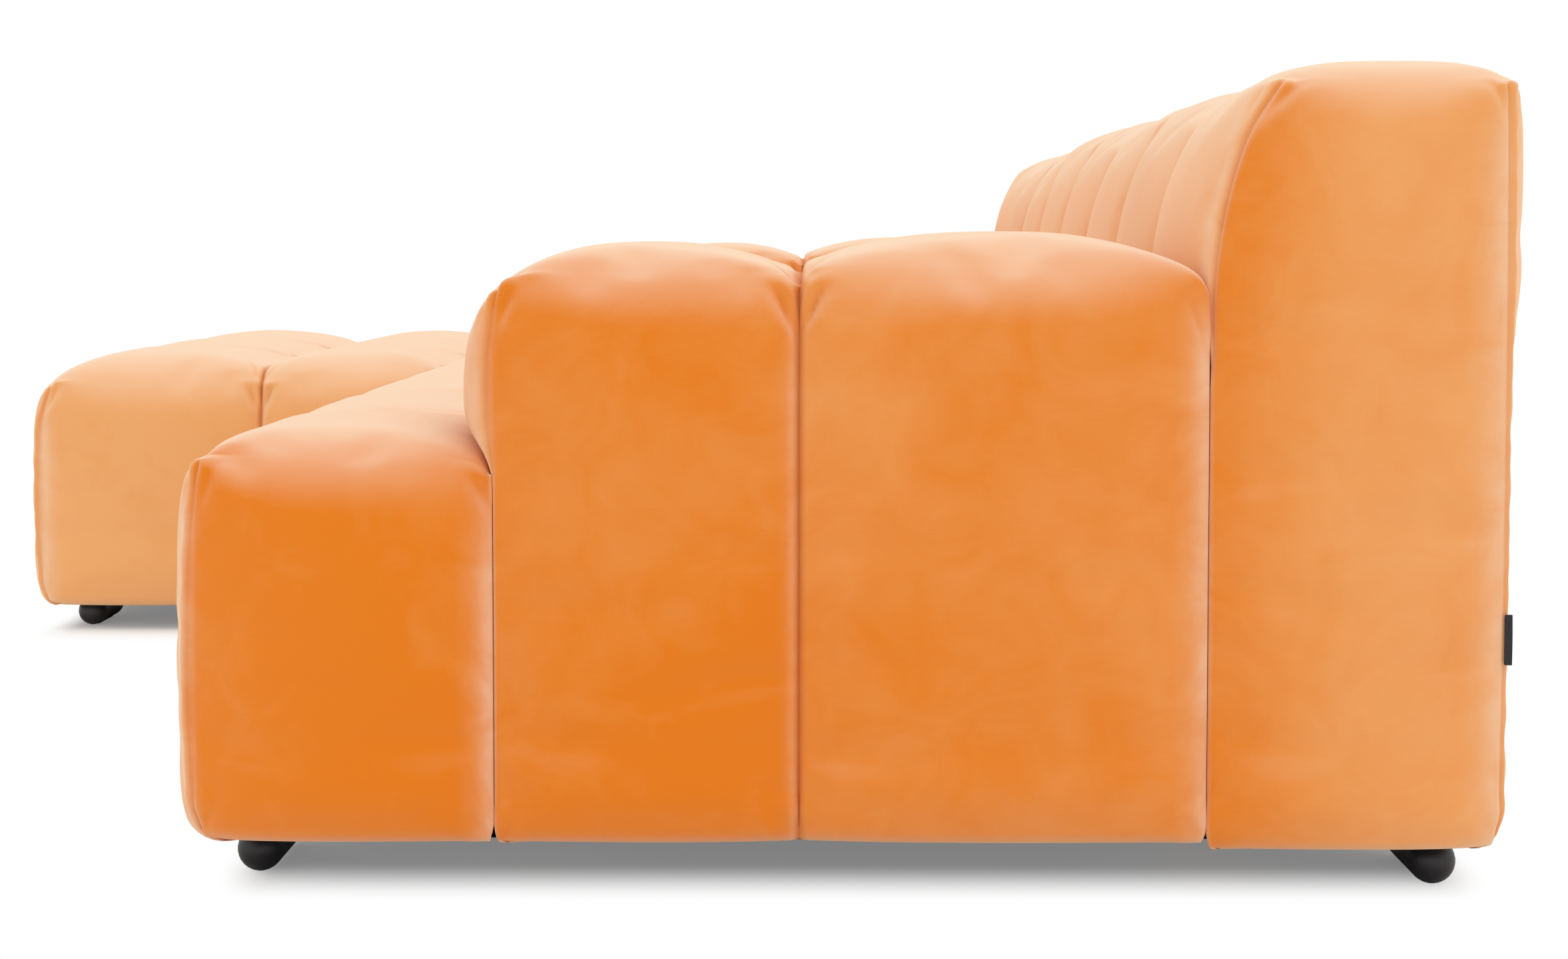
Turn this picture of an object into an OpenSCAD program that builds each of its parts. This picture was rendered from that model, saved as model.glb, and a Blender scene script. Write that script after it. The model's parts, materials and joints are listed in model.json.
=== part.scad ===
// Corner lounge sofa in two modules, upholstered in a grid of plump sewn pillows.
// X runs along the back, Y from the front to the back, Z up, in millimetres.
// The origin is on the floor, under the middle of the sofa's box.
// Each module has a seat unit, an arm unit and a back unit, plated together from below.

/* [Pillow grid] */
// Width of one sewn channel
channel_w = 350; // [300:10:400]
// Channels across the seat module, its arm included
seat_channels = 5; // [4:1:6]
// Channels across the chaise module, its arm included
chaise_channels = 3; // [3:1:4]
// Depth of the chaise's front pillow row
chaise_front_d = 353; // [300:1:420]
// Depth of the chaise's second pillow row
chaise_mid_d = 302; // [260:1:360]
// Depth of the front pillow row of the seat
front_row_d = 283; // [240:1:340]
// Depth of the arm's front pillow
arm_front_d = 289; // [240:1:340]
// Depth of the arm's rear pillow
arm_rear_d = 386; // [320:1:450]
// Depth of the backrest at the seat
back_d = 278; // [240:1:330]
// Depth of the backrest at its top
back_top_d = 213; // [180:1:240]

/* [Heights] */
// Underside of the upholstery above the floor
base_z = 58; // [54:1:80]
// Top of the seat pillows above the floor
seat_h = 453; // [430:1:500]
// Top of the arm's rear pillow
arm_h = 634; // [590:1:680]
// How much lower the arm's front pillow is
arm_step = 8; // [0:1:15]
// Top of the backrest
back_h = 805; // [750:1:850]
// Height at which the backrest starts to lean back
lean_z = 558; // [520:1:600]

/* [Padding] */
// Depth of a deep sewn groove below the crown
groove_deep = 36; // [26:1:40]
// Depth of a shallow sewn groove
groove_shallow = 18; // [10:1:24]
// Drop of the seat from its crown to the front edge
front_drop = 24; // [18:1:40]
// Drop of the arm from its crown to its front corner
arm_front_drop = 38; // [30:1:50]
// Drop of the arm where it meets the backrest
arm_rear_drop = 55; // [40:1:60]
// Drop of the seat where it meets the backrest
seat_rear_drop = 40; // [30:1:44]
// Drop of a crown at the outer end of the sofa
end_drop = 20; // [8:1:24]
// Drop of the backrest's crown to its front edge
back_front_drop = 19; // [8:1:24]
// Drop of the backrest's crown to its rear edge
back_rear_drop = 32; // [12:1:36]
// How far a side panel swells out past its seams
side_puff = 12; // [6:1:18]
// How far the arm's front pillow swells forward
arm_puff = 23; // [14:1:28]
// How far the backrest pillows swell forward
back_puff = 28; // [16:1:34]
// Padding and cover at the sides of a unit
wall_t = 42; // [34:1:50]
// Padding and cover over the seat foam
seat_top_t = 66; // [62:1:80]
// Padding and cover over the arm foam
arm_top_t = 76; // [74:1:90]
// Padding and cover over the backrest frame
back_top_t = 66; // [60:1:80]
// Free space between two covers side by side
cover_gap = 0.6; // [0.4:0.1:1.5]

/* [Timber frames] */
// Thickness of a frame rail
rail_t = 32; // [26:1:38]
// Height of the seat rails
rail_h = 130; // [110:1:150]
// Height of the cross rails under the springs
cross_h = 90; // [60:1:104]
// Cross rails in the seat module
seat_cross_rails = 2; // [1:1:3]
// Cross rails in the chaise module
chaise_cross_rails = 3; // [1:1:4]
// Thickness of the arm's plywood boards
board_t = 15; // [12:1:19]
// Side of the square backrest posts
post_t = 40; // [32:1:46]
// Space between a block and what surrounds it
fit_gap = 0.3; // [0.2:0.1:0.6]

/* [Seat springs] */
// Diameter of the spring wire
wire_d = 3.8; // [3:0.1:4.4]
// Half the width of a spring's waves
wave_r = 24; // [18:1:30]
// Waves along one spring
wave_count = 8; // [6:1:10]
// Springs under the seat
seat_springs_n = 6; // [4:1:8]
// Springs across the chaise
chaise_springs_n = 8; // [6:1:10]
// Thickness of a spring clip's sheet
clip_t = 1.5; // [1:0.1:2]
// Width of a spring clip
clip_w = 20; // [14:1:26]

/* [Back webbing] */
// Elastic straps across one backrest
straps_n = 5; // [3:1:6]
// Height of a strap
strap_h = 60; // [40:1:70]
// Thickness of a strap
strap_t = 2; // [1.5:0.1:3]

/* [Feet] */
// Diameter of a foot bar
foot_d = 46; // [40:1:50]
// Length of a foot bar over its round ends
foot_l = 150; // [120:1:180]
// From the sofa's end to the near tip of a front foot
front_foot_inset = 100; // [90:1:130]
// From the sofa's end to the near tip of a rear foot
rear_foot_inset = 58; // [56:1:90]
// From the line between the modules to the tip of a foot
split_foot_inset = 36; // [30:1:80]
// From the seat's front seam to the middle of its front feet
front_foot_y = 35; // [30:1:80]
// From the chaise's front seam to the middle of its front feet
chaise_foot_y = 62; // [30:1:80]
// From the rear seam to the middle of a rear foot
rear_foot_y = 46; // [36:1:70]
// Thickness of the glide pad under a foot bar
glide_t = 3; // [2:0.5:4]
// Width of the glide pad
glide_w = 14; // [10:1:18]
// Thickness of the steel plates
plate_t = 3; // [2.5:0.5:4]
// Width of a foot plate
foot_plate_w = 60; // [50:1:64]
// Diameter of a foot bolt
bolt_d = 8; // [6:1:10]

/* [Joining hardware] */
// Length of a joining plate
join_l = 170; // [160:1:180]
// Width of a joining plate
join_w = 50; // [40:1:60]
// Diameter of a joining screw
screw_d = 6; // [4:0.5:7]
// Diameter of the stud that locks the two modules
stud_d = 12; // [8:1:14]

/* [Sewn tag] */
// Height of the blank tag in the rear seam
tag_h = 48; // [30:1:60]
// How far the tag stands out of the seam
tag_w = 11; // [8:1:12]
// Thickness of the folded tag
tag_t = 1.2; // [0.8:0.1:2]
// Lower edge of the tag above the floor
tag_z = 228; // [150:1:300]

/* [Hidden] */

// Colours
velvet = [0.90, 0.52, 0.20];
foam = [0.95, 0.92, 0.80];
timber = [0.80, 0.66, 0.45];
ply = [0.74, 0.58, 0.38];
steel = [0.70, 0.71, 0.73];
zinc = [0.60, 0.62, 0.64];
black = [0.11, 0.10, 0.12];

$fn = 32;
RIGHT = 0;
LEFT = 1;

// Shares of a pillow's width at which its skin is sampled, closer together near the seams
lobe_shares = [0, 0.06, 0.22, 0.5, 0.78, 0.94];
lobe_n = len(lobe_shares);
// Shares of a skirt's height, from the top edge down to the hem
seat_level_shares = [0.08, 0.3, 0.7, 1];
arm_level_shares = [0.06, 0.16, 0.28, 0.6, 1];
back_level_shares = [0.06, 0.14, 0.24, 0.36, 0.5, 1];

// Plan lines of the sofa
half_w = (seat_channels + chaise_channels) * channel_w / 2;
split_x = half_w - seat_channels * channel_w;
arm_x = half_w - channel_w;
rows_d = chaise_front_d + chaise_mid_d + front_row_d + arm_front_d + arm_rear_d + back_d;
rear_y = rows_d / 2;
back_y = rear_y - back_d;
arm_mid_y = back_y - arm_rear_d;
arm_y = arm_mid_y - arm_front_d;
seat_y = arm_y - front_row_d;
chaise_mid_y = seat_y - chaise_mid_d;
chaise_y = chaise_mid_y - chaise_front_d;

// Outlines of the units. The chaise module is drawn mirrored, so that its arm is at +X too.
function inner_x(side) = (side == RIGHT ? split_x : -split_x) + cover_gap / 2;
function channels(side) = side == RIGHT ? seat_channels : chaise_channels;
function front_y(side) = side == RIGHT ? seat_y : chaise_y;
function channel_lines(side) = [
    for (k = [0:channels(side)])
        k == 0 ? inner_x(side) : half_w - (channels(side) - k) * channel_w
];
function seat_lines(side) = [
    for (k = [0:channels(side)])
        channel_lines(side)[k] - (k == channels(side) - 1 ? cover_gap : 0)
];
function row_lines(side) = concat(
    side == RIGHT ? [seat_y] : [chaise_y, chaise_mid_y, seat_y],
    [arm_y - cover_gap, arm_mid_y, back_y - cover_gap]
);
function seat_groove(m) = m == 0 ? end_drop : m % 3 == 0 ? groove_shallow : groove_deep;
function back_groove(m) = m == 0 ? end_drop : m % 2 == 0 ? groove_shallow : groove_deep;
split_drop = (groove_deep + groove_shallow) / 2;

// Heights inside the units
rail_top = base_z + rail_h;
clip_h = 2 * clip_t + wire_d + 2 * fit_gap;
foam_z = rail_top + clip_h + fit_gap;
seat_in_z = seat_h - seat_top_t;
arm_in_z = arm_h - arm_top_t;
back_in_z = back_h - back_top_t;
dust_t = 1;
dust_z = base_z - dust_t;
plate_z = dust_z - plate_t;

// Where two drops meet, the deeper one leads: a power mean of 2 is round, a higher one sharper
corner_power = 4;
function joint_drop(a, b) = pow(pow(a, corner_power) + pow(b, corner_power), 1 / corner_power);

// Height of a pillow's skin across its width: 0 at the seams, 1 in the middle
function lobe(s) = sqrt(max(0, 1 - s * s));
function last_line(b) = lobe_n * (len(b) - 1);
function line_cell(b, i) = min(len(b) - 2, floor(i / lobe_n));
function line_share(b, i) = i == last_line(b) ? 1 : lobe_shares[i % lobe_n];
function line_s(b, i) = 2 * line_share(b, i) - 1;
function line_at(b, i) =
    let (c = line_cell(b, i))
    b[c] + line_share(b, i) * (b[c + 1] - b[c]);
function line_drop(b, drops, i) =
    let (c = line_cell(b, i), s = line_s(b, i))
    (s < 0 ? drops[c] : drops[c + 1]) * (1 - lobe(s));

// How full a side panel is at height z, where it is free between z_free and its top edge z_top.
// It is fullest above its middle, and still half full at the top edge.
full_turn = 150;
function fullness(z, z_free, z_top) =
    z_free >= z_top || z <= z_free ? 0 : sin(full_turn * (z - z_free) / (z_top - z_free));

// A hollow padded cover over a grid of pillows, open below.
// xb and yb are the seam lines, x_drops and y_drops their depths, crowns the height of each row.
// puffs and free give, for the front, right, rear and left sides, how far they swell
// and from which height they are free to do so in each cell.
// With a notch, the last channel ends in front of the last two rows, where the arm stands.
module tufted_cover(xb, yb, x_drops, y_drops, crowns, puffs, free, levels, top_t,
                    notch = false, lean = 0) {
    nx = last_line(xb);
    ny = last_line(yb);
    ic = notch ? nx - lobe_n : nx;
    jc = notch ? ny - 2 * lobe_n : ny;
    y_end = yb[len(yb) - 1];
    top_in = max(crowns) - top_t;
    depth = y_end - yb[0];

    // The backrest is deeper below than at its top
    function spread(z) =
        let (share = (z - lean_z) / (back_h - lean_z))
        lean == 0 ? 1 : 1 + lean * (1 - pow(max(0, min(1, share)), 2)) / depth;
    function crown(j) = crowns[line_cell(yb, j)];
    function top_z(i, j) =
        crown(j) - joint_drop(line_drop(xb, x_drops, i), line_drop(yb, y_drops, j));
    function puff(i, j, z, side) =
        side == 0 ? puffs[0] * lobe(line_s(xb, i)) * fullness(z, free[0][line_cell(xb, i)], top_z(i, j))
        : side == 1 ? puffs[1] * lobe(line_s(yb, j)) * fullness(z, free[1][line_cell(yb, j)], top_z(i, j))
        : side == 4 ? puffs[2] * lobe(line_s(xb, i)) * fullness(z, free[2][line_cell(xb, i)], top_z(i, j))
        : side == 5 ? puffs[3] * lobe(line_s(yb, j)) * fullness(z, free[3][line_cell(yb, j)], top_z(i, j))
        : 0;
    function skin(i, j, z, side) =
        let (out = puff(i, j, z, side), y = y_end - (y_end - line_at(yb, j)) * spread(z))
        [
            line_at(xb, i) + (side == 1 ? out : side == 5 ? -out : 0),
            y + (side == 0 ? -out : side == 4 ? out : 0),
            z
        ];
    function rim_side(i, j) = j == 0 ? 0 : i == nx ? 1 : j == ny ? 4 : i == 0 ? 5 : 2;

    // The outline, counter-clockwise from the front left: line numbers, side and inner corner
    outline = concat(
        [for (i = [0:1:nx - 1]) [i, 0, 0, 0]],
        [for (j = [0:1:jc - 1]) [nx, j, 1, 1]],
        [for (i = [nx:-1:ic + 1]) [i, jc, 2, 2]],
        [for (j = [jc:1:ny - 1]) [ic, j, 3, 3]],
        [for (i = [ic:-1:1]) [i, ny, 4, notch ? 4 : 2]],
        [for (j = [ny:-1:1]) [0, j, 5, notch ? 5 : 3]]
    );
    count = len(outline);
    k_n = len(levels);
    corners_n = notch ? 6 : 4;
    x0 = xb[0] + wall_t;
    x1 = xb[len(xb) - 1] - wall_t;
    xc = line_at(xb, ic) - wall_t;
    yc = line_at(yb, jc) - wall_t;
    function depth_at(y, z) = y_end - (y_end - y) * spread(z);
    function inner(z) =
        let (y0 = depth_at(yb[0], z) + wall_t, y1 = y_end - wall_t)
        notch ? [[x0, y0, z], [x1, y0, z], [x1, yc, z], [xc, yc, z], [xc, y1, z], [x0, y1, z]]
        : [[x0, y0, z], [x1, y0, z], [x1, y1, z], [x0, y1, z]];

    grid = [for (i = [0:nx]) for (j = [0:ny]) skin(i, j, top_z(i, j), rim_side(i, j))];
    skirt = [
        for (p = outline) for (share = levels)
            let (z = top_z(p[0], p[1]) + share * (base_z - top_z(p[0], p[1])))
            skin(p[0], p[1], z, p[2])
    ];
    points = concat(grid, skirt, inner(base_z), inner(top_in));
    skirt_at = len(grid);
    low_at = skirt_at + len(skirt);
    high_at = low_at + corners_n;

    function g(i, j) = i * (ny + 1) + j;
    function o(p, k) =
        let (q = p % count)
        k == 0 ? g(outline[q][0], outline[q][1]) : skirt_at + q * k_n + k - 1;
    function corner(p) = outline[p % count][3];
    function next(c) = (c + 1) % corners_n;
    hub = notch ? 3 : 0;
    faces = concat(
        [for (i = [0:nx - 1]) for (j = [0:ny - 1]) if (i < ic || j < jc) each [
            [g(i, j), g(i, j + 1), g(i + 1, j + 1)],
            [g(i, j), g(i + 1, j + 1), g(i + 1, j)]
        ]],
        [for (p = [0:count - 1]) for (k = [0:k_n - 1]) each [
            [o(p, k), o(p + 1, k), o(p + 1, k + 1)],
            [o(p, k), o(p + 1, k + 1), o(p, k + 1)]
        ]],
        [for (p = [0:count - 1]) [o(p, k_n), o(p + 1, k_n), low_at + corner(p)]],
        [for (p = [0:count - 1]) if (corner(p) != corner(p + 1))
            [o(p + 1, k_n), low_at + corner(p + 1), low_at + corner(p)]],
        [for (c = [0:corners_n - 1]) each [
            [low_at + c, low_at + next(c), high_at + next(c)],
            [low_at + c, high_at + next(c), high_at + c]
        ]],
        [for (c = [1:corners_n - 2])
            [high_at + hub, high_at + (hub + c) % corners_n, high_at + (hub + c + 1) % corners_n]]
    );
    polyhedron(points, faces);
}

function all_cells(n, value) = [for (k = [1:n]) value];

module seat_cover(side) {
    n = channels(side);
    yb = row_lines(side);
    rows = len(yb) - 1;
    split_free = [for (r = [1:rows]) yb[r] <= seat_y ? base_z : back_h];
    color(velvet)
        tufted_cover(
            seat_lines(side), yb,
            [for (k = [0:n]) k == 0 ? split_drop : seat_groove(n - k)],
            [for (r = [0:rows]) r == 0 ? front_drop : r == rows ? seat_rear_drop : groove_deep],
            all_cells(rows, seat_h),
            [side_puff, side_puff, 0, side_puff],
            [all_cells(n, base_z), all_cells(rows, base_z), all_cells(n, back_h), split_free],
            seat_level_shares, seat_top_t, notch = true
        );
}

module arm_cover() {
    above_seat = seat_h + side_puff;
    color(velvet)
        tufted_cover(
            [arm_x, half_w], [arm_y, arm_mid_y, back_y - cover_gap],
            [groove_shallow, end_drop], [arm_front_drop, groove_deep, arm_rear_drop],
            [arm_h - arm_step, arm_h],
            [arm_puff, side_puff, 0, side_puff],
            [[above_seat], all_cells(2, base_z), [back_h], all_cells(2, above_seat)],
            arm_level_shares, arm_top_t
        );
}

module back_cover(side) {
    n = channels(side);
    lean = back_d - back_top_d;
    front_free = [for (k = [1:n]) k == n ? arm_h + arm_step : seat_h + side_puff];
    color(velvet)
        tufted_cover(
            channel_lines(side), [rear_y - back_top_d, rear_y],
            [for (k = [0:n]) k == 0 ? split_drop : back_groove(n - k)],
            [back_front_drop, back_rear_drop],
            [back_h],
            [back_puff, side_puff, side_puff, 0],
            [front_free, [base_z], all_cells(n, base_z), [back_h]],
            back_level_shares, back_top_t, lean = lean
        );
}

// Inner faces of the covers, with the fitting space taken off
function in_x0(side) = inner_x(side) + wall_t + fit_gap;
in_x1 = half_w - wall_t - fit_gap;
seat_xc = arm_x - cover_gap - wall_t - fit_gap;
seat_yc = arm_y - cover_gap - wall_t - fit_gap;
seat_y1 = back_y - cover_gap - wall_t - fit_gap;
function seat_y0(side) = front_y(side) + wall_t + fit_gap;
arm_x0 = arm_x + wall_t + fit_gap;
arm_y0 = arm_y + wall_t + fit_gap;
arm_y1 = back_y - cover_gap - wall_t - fit_gap;
back_y0 = back_y + wall_t + fit_gap;
back_y1 = rear_y - wall_t - fit_gap;

module block(x0, x1, y0, y1, z0, z1) {
    translate([x0, y0, z0]) cube([x1 - x0, y1 - y0, z1 - z0]);
}

// Plan of the seat's inside: a full-width front part and a part beside the arm,
// drawn in from its edges by inset
module seat_plan(side, inset = 0) {
    x0 = in_x0(side) + inset;
    y0 = seat_y0(side) + inset;
    polygon([
        [x0, y0], [in_x1 - inset, y0], [in_x1 - inset, seat_yc - inset],
        [seat_xc - inset, seat_yc - inset], [seat_xc - inset, seat_y1 - inset],
        [x0, seat_y1 - inset]
    ]);
}

module seat_foam(side) {
    color(foam)
        translate([0, 0, foam_z])
            linear_extrude(seat_in_z - fit_gap - foam_z)
                seat_plan(side);
}

// Holes for the screws and bolts that come up from below
module up_holes(places, d, depth) {
    for (p = places)
        translate([p[0], p[1], base_z - depth]) cylinder(h = 2 * depth, d = d);
}

module seat_rails(side) {
    color(timber) difference() {
        translate([0, 0, base_z])
            linear_extrude(rail_h)
                difference() {
                    seat_plan(side);
                    seat_plan(side, rail_t);
                }
        up_holes(screw_places(side), screw_d + fit_gap, screw_l);
        up_holes(bolt_places(side), bolt_d + fit_gap, bolt_l);
        up_holes(stud_places(side), stud_d / 2 + fit_gap, stud_l);
    }
}

module cross_rails(side) {
    n = side == RIGHT ? seat_cross_rails : chaise_cross_rails;
    x0 = in_x0(side) + rail_t;
    x1 = seat_xc - rail_t;
    y0 = seat_y0(side) + rail_t;
    y1 = seat_y1 - rail_t;
    color(timber)
        for (k = [1:n])
            if (side == RIGHT) {
                x = x0 + k * (x1 - x0) / (n + 1);
                block(x - rail_t / 2, x + rail_t / 2, y0, y1, base_z, base_z + cross_h);
            } else {
                y = y0 + k * (y1 - y0) / (n + 1);
                end = y + rail_t / 2 < seat_yc - rail_t ? in_x1 - rail_t : x1;
                block(x0, end, y - rail_t / 2, y + rail_t / 2, base_z, base_z + cross_h);
            }
}

// A wavy seat spring along X from 0 to span, with a short bar across each end
spring_z = rail_top + clip_t + fit_gap + wire_d / 2;
ring_sides = 4;
ring_steps = 6;
spring_rise = clip_h - clip_t - wire_d - fit_gap;
bar_l = wave_r;
function spring_path(span) = concat(
    [[0, -bar_l, 0]],
    [for (k = [0:wave_count * ring_steps])
        let (t = k / (wave_count * ring_steps))
        [span * t, wave_r * sin(360 * wave_count * t), spring_rise * sin(180 * t)]],
    [[span, bar_l, 0]]
);
function unit(v) = v / norm(v);
function tangent(path, i) =
    let (a = path[max(0, i - 1)], b = path[min(len(path) - 1, i + 1)])
    unit([b[0] - a[0], b[1] - a[1], 0]);
module wire(path, r) {
    n = len(path);
    points = [
        for (i = [0:n - 1]) for (k = [0:ring_sides - 1])
            let (t = tangent(path, i), a = 45 + 360 * k / ring_sides)
            path[i] + r * (cos(a) * [-t[1], t[0], 0] + sin(a) * [0, 0, 1])
    ];
    faces = concat(
        [for (i = [0:n - 2]) for (k = [0:ring_sides - 1])
            let (m = (k + 1) % ring_sides, a = i * ring_sides, b = a + ring_sides)
            each [[a + k, a + m, b + m], [a + k, b + m, b + k]]],
        [for (k = [1:ring_sides - 2]) [0, k + 1, k]],
        [for (k = [1:ring_sides - 2]) (n - 1) * ring_sides * [1, 1, 1] + [0, k, k + 1]]
    );
    polyhedron(points, faces);
}

// Start, direction and span of each spring: along Y under the seat, along X across the chaise
spring_edge = rail_t / 2;
function spring_places(side) =
    side == RIGHT ? [
        for (k = [1:seat_springs_n])
            let (x0 = in_x0(side) + rail_t, x1 = seat_xc - rail_t)
            [x0 + (k - 0.5) * (x1 - x0) / seat_springs_n, seat_y0(side) + spring_edge, 90,
             seat_y1 - seat_y0(side) - 2 * spring_edge]
    ] : [
        for (k = [1:chaise_springs_n])
            let (
                y0 = seat_y0(side) + rail_t, y1 = seat_y1 - rail_t,
                y = y0 + (k - 0.5) * (y1 - y0) / chaise_springs_n,
                end = y < seat_yc - rail_t - wave_r ? in_x1 : seat_xc
            )
            [in_x0(side) + spring_edge, y, 0, end - in_x0(side) - 2 * spring_edge]
    ];

module seat_springs(side) {
    color(steel)
        for (p = spring_places(side))
            translate([p[0], p[1], spring_z]) rotate(p[2]) wire(spring_path(p[3]), wire_d / 2);
}

// A folded clip, open towards the span, that holds a spring's end bar down on the rail
module spring_clip() {
    reach = wire_d / 2 + fit_gap;
    translate([0, clip_w / 2, 0]) rotate([90, 0, 0])
        linear_extrude(clip_w)
            polygon([
                [-reach - clip_t, 0], [reach + 2 * clip_t, 0], [reach + 2 * clip_t, clip_t],
                [-reach, clip_t], [-reach, clip_h - clip_t], [reach, clip_h - clip_t],
                [reach, clip_h], [-reach - clip_t, clip_h]
            ]);
}

module spring_clips(side) {
    color(zinc)
        for (p = spring_places(side))
            translate([p[0], p[1], rail_top]) rotate(p[2]) {
                translate([0, -bar_l + clip_w / 2, 0]) spring_clip();
                translate([p[3], bar_l - clip_w / 2, 0]) mirror([1, 0, 0]) spring_clip();
            }
}

// The arm is a narrow box of plywood boards on ribs, with foam on its top board
arm_board_z = arm_in_z - 2 * rail_t;
arm_low_z = arm_board_z - board_t;
rib_pitch = (arm_y1 - arm_y0 - rail_t) / 2;
module arm_boards() {
    color(ply) {
        block(arm_x0, arm_x0 + board_t, arm_y0, arm_y1, base_z, arm_low_z);
        block(in_x1 - board_t, in_x1, arm_y0, arm_y1, base_z, arm_low_z);
        block(arm_x0, in_x1, arm_y0, arm_y1, arm_low_z, arm_board_z);
    }
}

// Three ribs with a round lightening hole each
module arm_ribs(side) {
    mid_x = (arm_x0 + in_x1) / 2;
    color(timber)
        for (k = [0:2]) {
            y = arm_y0 + k * rib_pitch;
            difference() {
                block(arm_x0 + board_t, in_x1 - board_t, y, y + rail_t, base_z, arm_low_z);
                translate([mid_x, y + rail_t / 2, (base_z + arm_board_z) / 2])
                    rotate([90, 0, 0])
                        cylinder(h = 2 * rail_t, r = rail_h / 2, center = true);
                up_holes(screw_places(side), screw_d + fit_gap, screw_l);
            }
        }
}

module arm_foam() {
    color(foam)
        block(arm_x0, in_x1, arm_y0, arm_y1, arm_board_z, arm_in_z - fit_gap);
}

// The backrest's frame: a base of two long rails and short ties, and posts at the rear
back_top_z = back_in_z - 2 * rail_t;
back_lean_in = (back_d - back_top_d) * pow((back_in_z - lean_z) / (back_h - lean_z), 2);
function back_front_in(z) =
    back_y0 + fit_gap + back_lean_in * (z - base_z) / (back_in_z - base_z);
function post_xs(side) = [
    for (k = [0:channels(side) - 1])
        in_x0(side) + k * (in_x1 - in_x0(side) - post_t) / (channels(side) - 1)
];
module back_frame(side) {
    x0 = in_x0(side);
    low_z = base_z + cross_h;
    front = back_front_in(low_z);
    color(timber) difference() {
        union() {
            block(x0, in_x1, back_y1 - post_t, back_y1, base_z, low_z);
            block(x0, in_x1, front, front + rail_t, base_z, low_z);
            block(x0, in_x1, back_y1 - post_t, back_y1, back_top_z - post_t, back_top_z);
            for (x = post_xs(side)) {
                block(x, x + post_t, back_y1 - post_t, back_y1, base_z, back_top_z);
                block(x, x + post_t, front, back_y1, base_z, low_z);
            }
        }
        up_holes(screw_places(side), screw_d + fit_gap, screw_l);
        up_holes(bolt_places(side), bolt_d + fit_gap, bolt_l);
    }
}

strap_y = back_y1 - post_t - strap_t;
module back_webbing(side) {
    z0 = base_z + rail_h;
    pitch = (back_top_z - post_t - z0 - strap_h) / (straps_n - 1);
    color(black)
        for (k = [0:straps_n - 1])
            block(
                in_x0(side), in_x1, strap_y, strap_y + strap_t,
                z0 + k * pitch, z0 + k * pitch + strap_h
            );
}

// Foam over the base and in front of the straps: its front follows the cover's leaning wall
module back_foam(side) {
    top_z = back_in_z - fit_gap;
    low_z = base_z + cross_h;
    color(foam)
        translate([in_x0(side), 0, 0])
            rotate([90, 0, 90])
                linear_extrude(in_x1 - in_x0(side))
                    polygon([
                        [back_front_in(low_z), low_z], [strap_y, low_z], [strap_y, back_top_z],
                        [back_y1, back_top_z], [back_y1, top_z], [back_front_in(top_z), top_z]
                    ]);
}

// Under each module: a dust cloth, cut round the bolts and screws
dust_edge = wall_t / 2;
module dust_cover(side) {
    color(black) difference() {
        block(
            inner_x(side) + dust_edge, half_w - dust_edge,
            front_y(side) + dust_edge, rear_y - dust_edge, dust_z, base_z
        );
        up_holes(screw_places(side), screw_d + fit_gap, screw_l);
        up_holes(bolt_places(side), bolt_d + fit_gap, bolt_l);
        up_holes(stud_places(side), stud_d / 2 + fit_gap, stud_l);
    }
}

// Feet: middle of each bar, and the line of its bolts in the rail above
foot_r = foot_d / 2;
glide_rise = 0.5;
foot_z = foot_r + glide_rise;
foot_straight = foot_l - foot_d;
bolt_l = rail_h / 4;
bolt_pitch = foot_straight;
rear_bolt_y = back_y1 - post_t / 2;
function foot_places(side) =
    let (
        end_x = half_w - foot_l / 2,
        split_foot_x = inner_x(side) + split_foot_inset + foot_l / 2,
        bar_y = side == RIGHT ? seat_y + front_foot_y : chaise_y + chaise_foot_y,
        bolt_y = seat_y0(side) + rail_t / 2
    )
    [
        [end_x - front_foot_inset, bar_y, bolt_y],
        [split_foot_x, bar_y, bolt_y],
        [end_x - rear_foot_inset, rear_y - rear_foot_y, rear_bolt_y],
        [split_foot_x, rear_y - rear_foot_y, rear_bolt_y]
    ];
function bolt_places(side) = [
    for (p = foot_places(side)) for (s = [-1, 1]) [p[0] + s * bolt_pitch / 2, p[2]]
];

// Draws children for each foot of both modules, at the foot's middle on the floor
module at_feet() {
    for (p = foot_places(RIGHT)) translate([p[0], p[1], 0]) children();
    mirror([1, 0, 0]) for (p = foot_places(LEFT)) translate([p[0], p[1], 0]) children();
}

foot_margin = foot_plate_w / 2 - foot_r / 4;
saddle_w_share = 0.56;
saddle_seat_share = 0.75;
glide_l_share = 0.8;
module foot_plate_row(side) {
    half_l = foot_l / 2;
    for (p = foot_places(side))
        difference() {
            block(
                p[0] - half_l, p[0] + half_l,
                min(p[1], p[2]) - foot_margin, max(p[1], p[2]) + foot_margin, plate_z, dust_z
            );
            up_holes(bolt_places(side), bolt_d + fit_gap, bolt_l);
        }
}
module foot_plates() {
    color(zinc) {
        foot_plate_row(RIGHT);
        mirror([1, 0, 0]) foot_plate_row(LEFT);
    }
}

// A saddle under each plate, hollowed to fit the bar
saddle_w = foot_d * saddle_w_share;
saddle_z = foot_z + foot_r * saddle_seat_share;
saddle_l = foot_straight - 2 * bolt_d;
module foot_saddles() {
    color(black) at_feet() difference() {
        block(-saddle_l / 2, saddle_l / 2, -saddle_w / 2, saddle_w / 2, saddle_z, plate_z);
        translate([0, 0, foot_z]) rotate([0, 90, 0])
            cylinder(h = foot_l, r = foot_r + fit_gap, center = true);
    }
}

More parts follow.
